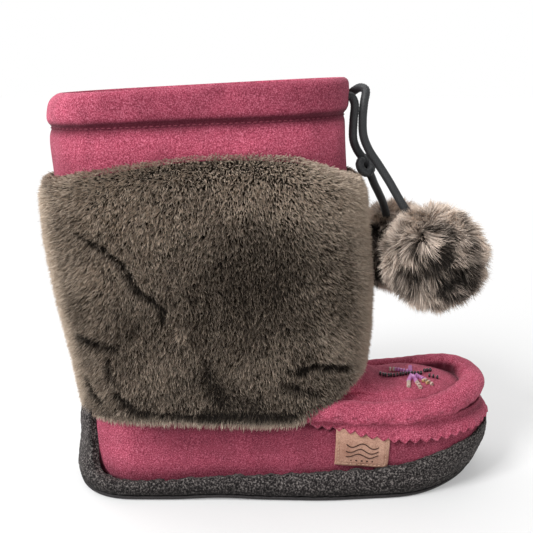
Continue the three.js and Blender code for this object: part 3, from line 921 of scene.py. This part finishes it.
def make_skirt():
    shares, walked = round_the_toe(lambda u: upper_base(u, np.full_like(u, SKIRT_LEVEL)), SKIRT_START)
    length = walked[-1]
    teeth = round(length / SKIRT_PITCH)

    def place(u, v):
        s = u * length
        share = np.interp(s, walked, shares)
        x = upper_base(share, np.full_like(share, SKIRT_LEVEL))[:, 0]
        tooth = np.abs(((s * teeth / length) % 1) * 2 - 1)
        low = along_table(SKIRT_EDGE[:, 0], SKIRT_EDGE[:, 1], x) + SKIRT_TOOTH * (tooth**1.2 - 0.5)
        z = lerp(low, SKIRT_TOP, v**1.3)
        flare = 0.4 * np.sin(2 * np.pi * s / 23) + 0.9 * smoothstep(1 - v, 0.5, 1)
        on_tag = between(x, 24, 35, 69, 78) * (share > 0.5)
        lift = SKIRT_LIFT_OVER_TAG * on_tag * (1 - v**4)
        off = SKIRT_OFF + flare * (1 - v) - ROLL_GROOVE * roll_groove(z, x) * (1 - on_tag) + lift
        points = upper_point(share, level_at(z), off)
        # Painted shade: the skirt darker in the roll's groove and above its pinked edge.
        return points, {"shade": 0.5 * roll_groove(z, x) + 0.1 * smoothstep(v, 0, 0.4)}

    skirt = woven("pinked_skirt", teeth * TOOTH_FACETS, 10, place, closed=False)
    thicken(skirt, -0.6)
    finish_piece(skirt, SUEDE)


make_roll()
make_skirt()

# ---------------- side tag

TAG_THICK = 1.5
TAG_LONG = 31.0
TAG_HIGH = 22.0
# corners from the lower rear round to the upper rear: x, z
TAG_CORNERS = np.array([(36.8, 21.4), (67.8, 19.4), (68.4, 40.4), (37.4, 43.2)], float)
TAG_MARGIN = 1.9
TAG_PUFF = 0.35
TAG_ENDS = 24  # ends of the stitches along the tag, and up it
TAG_SIDE_ENDS = 18
THREAD_WIDE = 0.28
WAVE_HEIGHTS = (0.64, 0.5, 0.36)
WAVE_SWING = 0.055
STAMP_WIDE = 0.34
DIAMOND_PLACES = (0.3, 0.4, 0.5, 0.6, 0.7)
DIAMOND_REACH = 0.75


def outer_share(x, level):
    """The share u on the outer side at which a level of the upper passes x."""
    back = upper_column("back", level)
    front = upper_column("front", level)
    turn = np.arccos(np.clip(2 * (x - back) / (front - back) - 1, -1, 1))
    return 1 - turn / (2 * np.pi)


def on_wall(x, z, off):
    """A point of the outer wall at x and z, off its face."""
    level = level_at(z)
    return upper_point(outer_share(x, level), level, off)


def tag_spot(a, b):
    """x and z of a place on the tag, a share a along it and b up it."""
    low = lerp(TAG_CORNERS[0], TAG_CORNERS[1], a[:, None])
    high = lerp(TAG_CORNERS[3], TAG_CORNERS[2], a[:, None])
    spot = lerp(low, high, b[:, None])
    return spot[:, 0], spot[:, 1]


def tag_line(a, b, off):
    """Places on the tag, off its face, and the directions out of it."""
    x, z = tag_spot(a, b)
    return on_wall(x, z, TAG_THICK + off), on_wall(x, z, 1.0) - on_wall(x, z, 0.0)


def make_tag():
    def place(u, v):
        x, z = tag_spot(u, v)
        rim = np.minimum(np.minimum(u, 1 - u) * TAG_LONG, np.minimum(v, 1 - v) * TAG_HIGH)
        puff = TAG_PUFF * (smoothstep(rim, 0, 1.2) - bell(rim, TAG_MARGIN, 0.5))
        return on_wall(x, z, TAG_THICK - TAG_PUFF + puff + 0.12 * np.sin(u * 9) * (1 - v)), {}

    tag = woven("side_tag_leather", 72, 50, place, closed=False)
    thicken(tag, -1)
    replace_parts(finish_piece(tag, TAN), "side_tag")


def thread_row(bm, spots, normals, width):
    """Flat oval stitches between the points of a row, taken in pairs."""
    for start, stop, normal in zip(spots[::2], spots[1::2], normals[::2]):
        middle = (start + stop) / 2
        way = Vector(stop - start)
        turn = way.to_track_quat("X", "Z")
        made = bmesh.ops.create_uvsphere(bm, u_segments=8, v_segments=5, radius=1.0)
        for vert in made["verts"]:
            x, y, z = vert.co
            local = Vector((x * way.length * 0.56, y * width, z * width))
            vert.co = (Vector(middle) + turn @ local + Vector(normal) * width * 0.3) * MM


def make_tag_work():
    """Thread round the tag, and a stamped mark of three waves over a row of small diamonds."""
    bm = bmesh.new()
    inset_u = TAG_MARGIN / TAG_LONG
    inset_v = TAG_MARGIN / TAG_HIGH
    up_side = np.linspace(inset_v, 1 - inset_v, TAG_SIDE_ENDS)
    runs = [
        (np.linspace(inset_u, 1 - inset_u, TAG_ENDS), np.full(TAG_ENDS, inset_v)),
        (np.full(TAG_SIDE_ENDS, 1 - inset_u), up_side),
        (np.full(TAG_SIDE_ENDS, inset_u), up_side),
    ]
    for a, b in runs:
        thread_row(bm, *tag_line(a, b, 0.05), THREAD_WIDE)
    finish_piece(placed("tag_thread", bm), TAN_THREAD)
    stamp = bmesh.new()
    for row, height in enumerate(WAVE_HEIGHTS):
        a = np.linspace(0.2, 0.8, 60)
        b = height + WAVE_SWING * np.sin(a * 2 * np.pi * 2.5 + row * 0.5)
        spots, normals = (np.repeat(values, 2, axis=0)[1:-1] for values in tag_line(a, b, 0.06))
        thread_row(stamp, spots, normals, STAMP_WIDE)
    for a in DIAMOND_PLACES:
        spots, _ = tag_line(np.array([a]), np.array([0.2]), -0.1)
        made = bmesh.ops.create_icosphere(stamp, subdivisions=1, radius=DIAMOND_REACH)
        for vert in made["verts"]:
            vert.co = (Vector(spots[0]) + Vector((vert.co.x, vert.co.y * 0.35, vert.co.z))) * MM
    finish_piece(placed("tag_stamp", stamp), STAMP)


make_tag()
make_tag_work()

# ---------------- casing stitches

CASING_STITCH = 3.2
STITCH_SHARE = 0.62  # the share of the pitch that a stitch takes
STITCH_WIDE = 0.4
STITCH_LEVEL = SEAM_LEVEL - 0.02


def make_casing_stitches():
    """Small berry stitches in the groove under the drawstring casing."""
    u = np.linspace(0, 1, 3001)
    walked = walked_along(suede_surface(u, np.full_like(u, STITCH_LEVEL)))
    count = round(walked[-1] / CASING_STITCH)
    starts = np.arange(count) * walked[-1] / count
    at = np.sort(np.concatenate([starts, starts + STITCH_SHARE * CASING_STITCH]))
    share = np.interp(at, walked, u)
    spots = suede_surface(share, np.full_like(share, STITCH_LEVEL), 0.1)
    bm = bmesh.new()
    thread_row(bm, spots, upper_normal(share, np.full_like(share, SEAM_LEVEL)), STITCH_WIDE)
    finish_piece(placed("casing_stitches", bm), BERRY_THREAD)


make_casing_stitches()

# ---------------- bead flower

BEAD_LONG = 1.05
BEAD_WIDE = 1.36
BEAD_SWAY = 0.12
# a bead's section: reach from its hole's middle line, and place along it
BEAD_SECTION = [(0.36, -0.62), (0.86, -0.5), (1, 0), (0.86, 0.5), (0.36, 0.62), (0.3, 0)]
BEADS = {
    "black": bead_material("black_beads", srgb(12, 10, 14), 0.0),
    "lilac": bead_material("lilac_beads", srgb(206, 128, 196), 0.15),
    "clear": bead_material("clear_beads", srgb(236, 214, 196), 0.5),
    "gold": bead_material("gold_beads", srgb(214, 170, 110), 0.3),
}
# colour, from x and y to x and y on the plug, and how many beads lie on the line
BEAD_LINES = [
    ("black", 68.5, 0.6, 75.8, 0.4, 5), ("black", 77.7, 0.2, 94.5, 1.4, 10),
    ("black", 97.4, 5, 101.4, 6.2, 3), ("black", 99, -2.6, 103.6, -4.2, 3),
    ("lilac", 87.6, -2.6, 84.6, -10.6, 5), ("clear", 84.4, -12, 83.4, -17, 3),
    ("lilac", 88.8, -3, 89.2, -11.4, 5), ("clear", 89.4, -12.8, 90, -18.6, 3),
    ("lilac", 91, -2.6, 94.8, -8.6, 5), ("clear", 95.4, -9.6, 98, -13.6, 3),
    ("gold", 93.8, -10.4, 95.4, -13, 2), ("lilac", 86.4, 4.4, 80, 8.4, 5),
    ("clear", 78.8, 9, 76.6, 9.6, 2), ("lilac", 88.4, 4.6, 89.6, 11, 4),
]


def bead_form():
    """The points and the faces of one bead about the origin."""
    bm = bmesh.new()
    ring = [bm.verts.new((reach, 0, place)) for reach, place in BEAD_SECTION]
    edges = [bm.edges.new(pair) for pair in zip(ring, ring[1:] + ring[:1])]
    bmesh.ops.spin(
        bm, geom=ring + edges, cent=(0, 0, 0), axis=(0, 0, 1), angle=2 * math.pi, steps=10, use_merge=True,
    )
    bm.verts.index_update()
    points = [Vector((x * BEAD_WIDE, y * BEAD_WIDE, z * BEAD_LONG)) for x, y, z in (v.co for v in bm.verts)]
    faces = [[vert.index for vert in face.verts] for face in bm.faces]
    bm.free()
    return points, faces


def make_beads():
    finder = BVHTree.FromObject(suede_upper, bpy.context.evaluated_depsgraph_get())
    made = {name: bmesh.new() for name in BEADS}
    points, faces = bead_form()
    rng = np.random.default_rng(61)
    for colour, x_from, y_from, x_to, y_to, count in BEAD_LINES:
        bm = made[colour]
        turn = Vector((x_to - x_from, y_to - y_from, 0)).normalized().to_track_quat("Z", "Y")
        for share in np.linspace(0, 1, count):
            x = lerp(x_from, x_to, share) + rng.normal(0, BEAD_SWAY)
            y = lerp(y_from, y_to, share) + rng.normal(0, BEAD_SWAY)
            spot, normal, _, _ = finder.ray_cast(Vector((x, y, 90)) * MM, Vector((0, 0, -1)))
            lift = normal * BEAD_WIDE * 0.8
            verts = [bm.verts.new(spot + (turn @ point + lift) * MM) for point in points]
            for face in faces:
                bm.faces.new([verts[i] for i in face])
    for name, bm in made.items():
        bmesh.ops.recalc_face_normals(bm, faces=bm.faces)
        finish_piece(placed(f"{name}_bead_work", bm), BEADS[name])


make_beads()

# ---------------- fur

# share of the height, back, front, half width, depth of the pile over the undercoat
CUFF_SECTIONS = np.array([
    (0, -118.6, 56, 44, 1.2), (0.05, -120, 60, 48.5, 4.5), (0.25, -124, 62.2, 50, 6),
    (0.5, -130.6, 62, 50, 6.4), (0.75, -135, 58.8, 49.8, 6.4), (0.93, -135.6, 56.6, 49, 5.4),
    (0.985, -132.4, 52.4, 45.6, 3), (1, -128, 47, 42, 1.6),
])
# x, lower edge, upper edge
CUFF_EDGES = np.array([
    (-140, 42, 185), (-118, 43, 187), (-98, 48, 192), (-40, 47.5, 200.5), (10, 46.5, 200), (26, 50, 195),
    (42, 60, 188), (66, 71, 180),
])
CUFF_ROUND = 56.0
RIM_SHARE = 0.985  # the share of the height at which the cuff's skin turns in
RIM_WIDE = 7.5
CUFF_STRANDS = 240000
CUFF_PIECES = 4
STRAND_WIDE = 0.42
HEM = 0.035  # the share of the height that the light fringe takes
# Partings in the cuff's outer side, as lines of places: x, z, and how wide and how deep it is from there on
PARTINGS = [
    [(-106, 160, 1.6, 0.7), (-98, 155, 1.8, 0.95), (-91, 152, 2, 0.95), (-82, 144, 2.4, 1),
     (-78, 137, 2.6, 0.9), (-73, 128, 2, 1), (-66, 124, 1.8, 0.95), (-60, 118, 1.5, 0.8), (-60, 112, 0, 0)],
    [(-75, 108, 2.4, 0.5), (-78, 103, 0, 0)],
    [(-111, 97, 3, 0.9), (-100, 96, 3, 0.6), (-88, 95, 0, 0)],
    [(-93, 87, 2.4, 0.7), (-94, 79, 2.6, 0.6), (-88, 72, 0, 0)],
    [(-109, 72, 2.4, 0.7), (-106, 63, 2.4, 0.7), (-101, 60, 0, 0)],
    [(-89, 66, 3, 1), (-80, 58, 0, 0)],
    [(-80, 56, 2.2, 0.85), (-59, 53.5, 2.6, 0.95), (-37, 52, 0, 0)],
    [(-37, 53, 4.5, 1), (-7, 53, 3, 0.9), (12, 53, 0, 0)],
    [(-36, 87, 3.4, 0.6), (-36, 78, 6, 0.7), (-28, 64, 0, 0)],
    [(-28, 61, 6, 0.6), (-8, 61, 0, 0)],
    [(17, 81.5, 2.2, 0.9), (26, 84, 2, 0.9), (34, 81.5, 2, 1), (45, 78.5, 0, 0)],
    [(10, 81, 1.8, 0.5), (19, 80, 0, 0)],
    [(8, 72.5, 3, 0.6), (14, 70, 3, 0.6), (27, 66, 0, 0)],
]
# Places on the outer side that are lighter than the rest, or darker by a negative amount: x, z, size, amount.
# The light ones along the top edge, near z 176 to 194, are painted highlight; the rest is the fur's own
# mottling.
PATCHES = [
    (-50, 103, 3.5, 0.9), (-99, 79, 7, 0.35), (-98, 65, 4, 0.45), (-76, 180, 40, 0.8), (-2, 194, 36, 1.25),
    (42, 176, 22, 0.5), (-4, 148, 26, -0.55), (-24, 118, 28, -0.26), (30, 128, 18, -0.1), (-64, 80, 20, 0.36),
    (38, 98, 14, 0.3), (-6, 84, 20, 0.2), (-96, 130, 18, 0.3), (-58, 140, 16, 0.16),
]
GROWTH_STEP = 0.03  # the share of the cuff's height over which the pile's direction is taken
ROOT_DEPTH = 0.6
UNDERCOAT_TONE = (0.42, 0.8, 0.0, 1.0)
CORE_TONE = (0.1, 0.5, 0.0, 1.0)
STRAND_SHARES = (0.25, 0.66, 0.66, 1.0)  # how far along the strand its points' colours are taken


def cuff_point(u, share, inset=0.0):
    back, front, half = table_columns(CUFF_SECTIONS, share, 1, 2, 3)
    part, side = ring_side(u)
    x = lerp(back + inset, front - inset, part)
    low = along_table(CUFF_EDGES[:, 0], CUFF_EDGES[:, 1], x)
    high = along_table(CUFF_EDGES[:, 0], CUFF_EDGES[:, 2], x)
    width = (half - inset) * ring_ends(x, back + inset, front - inset, CUFF_ROUND)
    return np.stack([x, side * width, lerp(low, high, share)], axis=1)


def pile_depth(share):
    return table_columns(CUFF_SECTIONS, share, 4)[0]


def near_partings(x, z):
    """How close each place is to the partings, from 0 to 1, and on which side of them it lies."""
    strength = np.zeros(len(x))
    lean = np.zeros((len(x), 2))
    legs = [leg for line in PARTINGS for leg in zip(line, line[1:])]
    for (x_from, z_from, width, depth), (x_to, z_to, _, _) in legs:
        way = np.array([x_to - x_from, z_to - z_from], float)
        along = np.clip(((x - x_from) * way[0] + (z - z_from) * way[1]) / way.dot(way), 0, 1)
        off = np.stack([x - x_from - along * way[0], z - z_from - along * way[1]], axis=1)
        close = depth * np.exp(-(np.sum(off**2, axis=1) / width**2))
        strength = np.maximum(strength, close)
        lean += off / width * close[:, None]
    return strength, lean


def colour_strands(mesh, colours):
    layer = mesh.color_attributes.new("strand", "FLOAT_COLOR", "POINT")
    layer.data.foreach_set("color", np.asarray(colours, np.float32).reshape(-1))


def make_undercoat():
    """The skin under the pile, which turns in at its top and down again to the suede."""
    turn = 0.84
    middle = [-40, 0, 0]

    def place(u, v):
        share = lerp(0.0, RIM_SHARE, np.clip(v / turn, 0, 1))
        outer = cuff_point(u, share, pile_depth(share))
        back_in = np.clip((v - turn) / (1 - turn), 0, 1)[:, None]
        top = np.full_like(u, RIM_SHARE)
        rim = cuff_point(u, top, pile_depth(top))
        inner = rim - unit(rim * [1, 1, 0] - middle) * back_in * RIM_WIDE - back_in * [0, 0, 2]
        return np.where((v <= turn)[:, None], outer, inner), {}

    coat = woven("cuff_undercoat", 160, 60, place)
    colour_strands(coat.data, [UNDERCOAT_TONE] * len(coat.data.vertices))
    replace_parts(finish_piece(coat, FUR), "fur_cuff")


def strand_mesh(name, roots, bends, tips, faces_to, width, tone, frost_and_highlight, material, slot):
    """Bent blades, one for each root: a point at the root, two at the bend and one at the tip."""
    count = len(roots)
    across = unit(np.cross(tips - roots, faces_to)) * (width[:, None] / 2)
    corners = np.stack([roots, bends - across, bends + across, tips], axis=1)
    first = (np.arange(count) * 4)[:, None]
    triangles = first + np.array([0, 2, 1, 1, 2, 3])
    mesh = bpy.data.meshes.new(name)
    mesh.vertices.add(count * 4)
    mesh.vertices.foreach_set("co", (corners.reshape(-1) * MM).astype(np.float32))
    mesh.loops.add(count * 6)
    mesh.loops.foreach_set("vertex_index", triangles.reshape(-1).astype(np.int32))
    mesh.polygons.add(count * 2)
    mesh.polygons.foreach_set("loop_start", np.arange(0, count * 6, 3, dtype=np.int32))
    mesh.update(calc_edges=True)
    along = np.tile(STRAND_SHARES, count)
    solid = np.ones(count * 4)
    colour_strands(mesh, np.stack([along, np.repeat(tone, 4), np.repeat(frost_and_highlight, 4), solid], axis=1))
    obj = bpy.data.objects.new(name, mesh)
    bpy.context.collection.objects.link(obj)
    return finish_piece(obj, material)


def spread_roots(rng, count):
    """Places on the cuff, even over its surface, with the directions out of it and up it."""
    u = rng.uniform(0, 1, count * 3)
    share = rng.uniform(0, 1, count * 3)
    step = 0.003
    round_way = cuff_point(u + step, share) - cuff_point(u - step, share)
    up_way = cuff_point(u, np.minimum(share + step, 1)) - cuff_point(u, np.maximum(share - step, 0))
    area = np.linalg.norm(np.cross(round_way, up_way), axis=1)
    kept = np.flatnonzero(rng.uniform(0, np.quantile(area, 0.995), len(u)) < area)[:count]
    u, share, round_way = u[kept], share[kept], round_way[kept]
    above = cuff_point(u, np.minimum(share + GROWTH_STEP, 1))
    below = cuff_point(u, np.maximum(share - GROWTH_STEP, 0))
    return u, share, unit(np.cross(round_way, above - below)), unit(above - below)


def make_cuff_fur():
    """A dense upright pile, parted where it is creased, with a light fringe at its lower edge."""
    rng = np.random.default_rng(71)
    u, share, out, up = spread_roots(rng, CUFF_STRANDS)
    count = len(u)
    sideways = np.cross(up, out)
    depth = pile_depth(share) + ROOT_DEPTH
    roots = cuff_point(u, share, depth)
    x, y, z = (roots + out * depth[:, None]).T
    parting, lean = near_partings(x, z)
    parting = parting * (y < 0)
    lean = lean * (y < 0)[:, None]
    patch = 0.1 * mottle(roots, 24.0, 74)
    for patch_x, patch_z, size, amount in PATCHES:
        patch += amount * (y < 0) * np.exp(-((x - patch_x) ** 2 + (z - patch_z) ** 2) / size**2)
    clump = mottle(roots, 2.6, 73)
    swirl = mottle(roots, 26.0, 75) * 0.3 + mottle(roots, 7.0, 76) * 0.35
    hem = smoothstep(-share, -HEM, -0.3 * HEM)
    # Painted highlight: the pile's top edge lighter.
    painted_top_highlight = smoothstep(share, 0.95, 0.985)
    stand = depth * rng.uniform(0.86, 1.0, count) * (1 - 0.42 * parting) * (1 + 0.03 * clump)
    droop = -up * (1.3 + 2.6 * hem)[:, None] + sideways * swirl[:, None]
    push = np.stack([lean[:, 0], np.zeros(count), lean[:, 1]], axis=1) * 2.6
    aside = droop + push + rng.normal(0, 0.75, (count, 3))
    bends = roots + out * (stand * 0.62)[:, None] + aside * 0.35
    tips = roots + out * stand[:, None] + aside
    faces_to = unit(sideways + rng.normal(0, 0.8, (count, 3)))
    # Painted highlight: the strands at the cuff's heel end and front end, its edges seen from the side,
    # lighter.
    rim = smoothstep(-out[:, 0], 0.66, 0.97) + 0.85 * smoothstep(out[:, 0], 0.62, 0.96)
    # Along the partings the strands are darker as painted shade; the rims add painted highlight.
    tone = 0.84 + 0.6 * patch + 0.08 * clump - 0.9 * parting + 0.2 * hem + 0.2 * rim
    tone = np.clip(tone + rng.normal(0, 0.34, count), 0.02, 1)
    frost_and_highlight = 0.12 + 1.1 * patch + 1.0 * rim + 0.95 * hem + 0.3 * painted_top_highlight - 0.5 * parting
    frost_and_highlight = np.clip(frost_and_highlight + rng.normal(0, 0.26, count), 0, 0.95)
    width = STRAND_WIDE * rng.uniform(0.7, 1.25, count)
    strands = (roots, bends, tips, faces_to, width, tone, frost_and_highlight)
    for piece in range(CUFF_PIECES):
        some = [values[piece::CUFF_PIECES] for values in strands]
        strand_mesh(f"cuff_fur_{piece + 1}", *some, FUR, "fur")


POMPOMS = {
    "near": {"middle": (94, -17, 141), "reach": 33.6, "core": 19, "seed": 81},
    "far": {"middle": (80.5, 42.5, 134), "reach": 32.4, "core": 18, "seed": 82},
}
POM_STRANDS = 28000
POM_STRAND_WIDE = 0.62
POM_LEAN = np.array([0.3, 0, -0.42])
POM_SAG = np.array([0, 0, -1.2])


def make_pompom(name, middle, reach, core, seed):
    """A fur ball: a small core under long strands that stand out all round and sag a little."""
    rng = np.random.default_rng(seed)
    middle = np.array(middle, float)
    bm = bmesh.new()
    bmesh.ops.create_icosphere(bm, subdivisions=4, radius=core)
    for vert in bm.verts:
        vert.co = (vert.co + Vector(middle)) * MM
    ball = placed(f"pompom_core_{name}", bm)
    colour_strands(ball.data, [CORE_TONE] * len(ball.data.vertices))
    finish_piece(ball, POM_FUR)
    out = unit(rng.normal(size=(POM_STRANDS, 3)))
    roots = middle + out * (core - 0.5)
    tuft = mottle(out * reach, 7.5, seed + 1)
    patch = mottle(out * reach, 21.0, seed + 2)
    swirl, grain = (
        np.stack([mottle(out * reach, size, seed + first + i) for i in range(3)], axis=1)
        for size, first in ((16.0, 3), (6.0, 6))
    )
    lean = swirl * 0.42 + grain * 0.16 + POM_LEAN
    lean -= out * np.sum(lean * out, axis=1)[:, None]
    length = (reach - core) * rng.uniform(0.8, 1.08, POM_STRANDS) * (1 + 0.03 * tuft + 0.03 * patch)
    way = unit(out + lean)
    bends = roots + unit(out + lean * 0.3) * (length * 0.55)[:, None]
    tips = roots + way * length[:, None] + POM_SAG + rng.normal(0, 0.8, (POM_STRANDS, 3))
    faces_to = unit(rng.normal(size=(POM_STRANDS, 3)))
    # Painted highlight: strands at the ball's outline from the front and on its top are lighter.
    rim = smoothstep(-np.abs(out[:, 1]), -0.72, -0.2)
    tone = 0.22 + 0.34 * tuft + 0.6 * patch + 0.45 * rim + 0.2 * out[:, 2]
    tone = np.clip(tone + rng.normal(0, 0.22, POM_STRANDS), 0.02, 1)
    frost_and_highlight = 0.3 * tuft + 0.34 * patch + 0.6 * rim + 0.5 * smoothstep(out[:, 2], 0.2, 1.0)
    frost_and_highlight = np.clip(frost_and_highlight + rng.normal(0, 0.2, POM_STRANDS), 0, 1)
    width = POM_STRAND_WIDE * rng.uniform(0.7, 1.2, POM_STRANDS)
    strands = (roots, bends, tips, faces_to, width, tone, frost_and_highlight)
    fur = strand_mesh(f"pompom_fur_{name}", *strands, POM_FUR, "pompom_fur")
    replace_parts(fur, f"pompom_{name}")
    return ball, fur


make_undercoat()
make_cuff_fur()
near_pompom = make_pompom("near", **POMPOMS["near"])
far_pompom = make_pompom("far", **POMPOMS["far"])

# ---------------- floor and light


# name, place, size, power and the height of the place it is turned to
LIGHTS = [
    ("key", (-0.75, -0.75, 1.15), (0.5, 0.5), 24, 0.1),
    ("fill", (0.9, -0.8, 0.5), (0.9, 0.7), 1.5, 0.1),
    ("top", (0, 0.1, 1.5), (1.0, 0.8), 6, 0.1),
    ("rim", (-0.9, 0.8, 0.7), (0.8, 0.6), 6, 0.12),
]


def make_floor():
    """A pale floor with painted light: it glows faintly near the boot and grows to plain white away from it.
    """
    material, graph, shader = new_material("glowing_floor", 0.9, 0.1)
    place = graph.place()
    away = graph.node("ShaderNodeVectorMath", {0: place}, operation="LENGTH")
    share = graph.spread(away.outputs["Value"], 0.2, 0.62)
    graph.feed(shader, {
        "Base Color": graph.mix(share, grey(0.5), grey(0.0)),
        "Emission Color": graph.mix(share, grey(0.31), grey(1.0)), "Emission Strength": 1.0,
    })
    bm = bmesh.new()
    bmesh.ops.create_grid(bm, x_segments=2, y_segments=2, size=6.0)
    floor = placed("floor", bm)
    floor.data.materials.append(material)


def soft_light(name, place, size, power, aim):
    data = bpy.data.lights.new(name, "AREA")
    data.shape = "RECTANGLE"
    data.size = size[0]
    data.size_y = size[1]
    data.energy = power
    light = bpy.data.objects.new(name, data)
    light.location = place
    light.rotation_euler = (Vector((0, 0, aim)) - Vector(place)).to_track_quat("-Z", "Y").to_euler()
    bpy.context.collection.objects.link(light)


def make_world():
    """A studio that is white behind the boot and dimmer in front of it."""
    world = bpy.data.worlds.new("studio")
    world.use_nodes = True
    graph = Graph(world.node_tree)
    way = graph.node("ShaderNodeTexCoord").outputs["Generated"]
    parts = graph.node("ShaderNodeSeparateXYZ", {"Vector": way})
    behind = graph.spread(parts.outputs["Y"], -0.1, 0.6)
    sky = graph.mix(behind, grey(0.34), grey(1.0))
    graph.join(sky, world.node_tree.nodes["Background"].inputs["Color"])
    bpy.context.scene.world = world
    bpy.context.scene.view_settings.view_transform = "Standard"


make_floor()
make_world()
for light_row in LIGHTS:
    soft_light(*light_row)
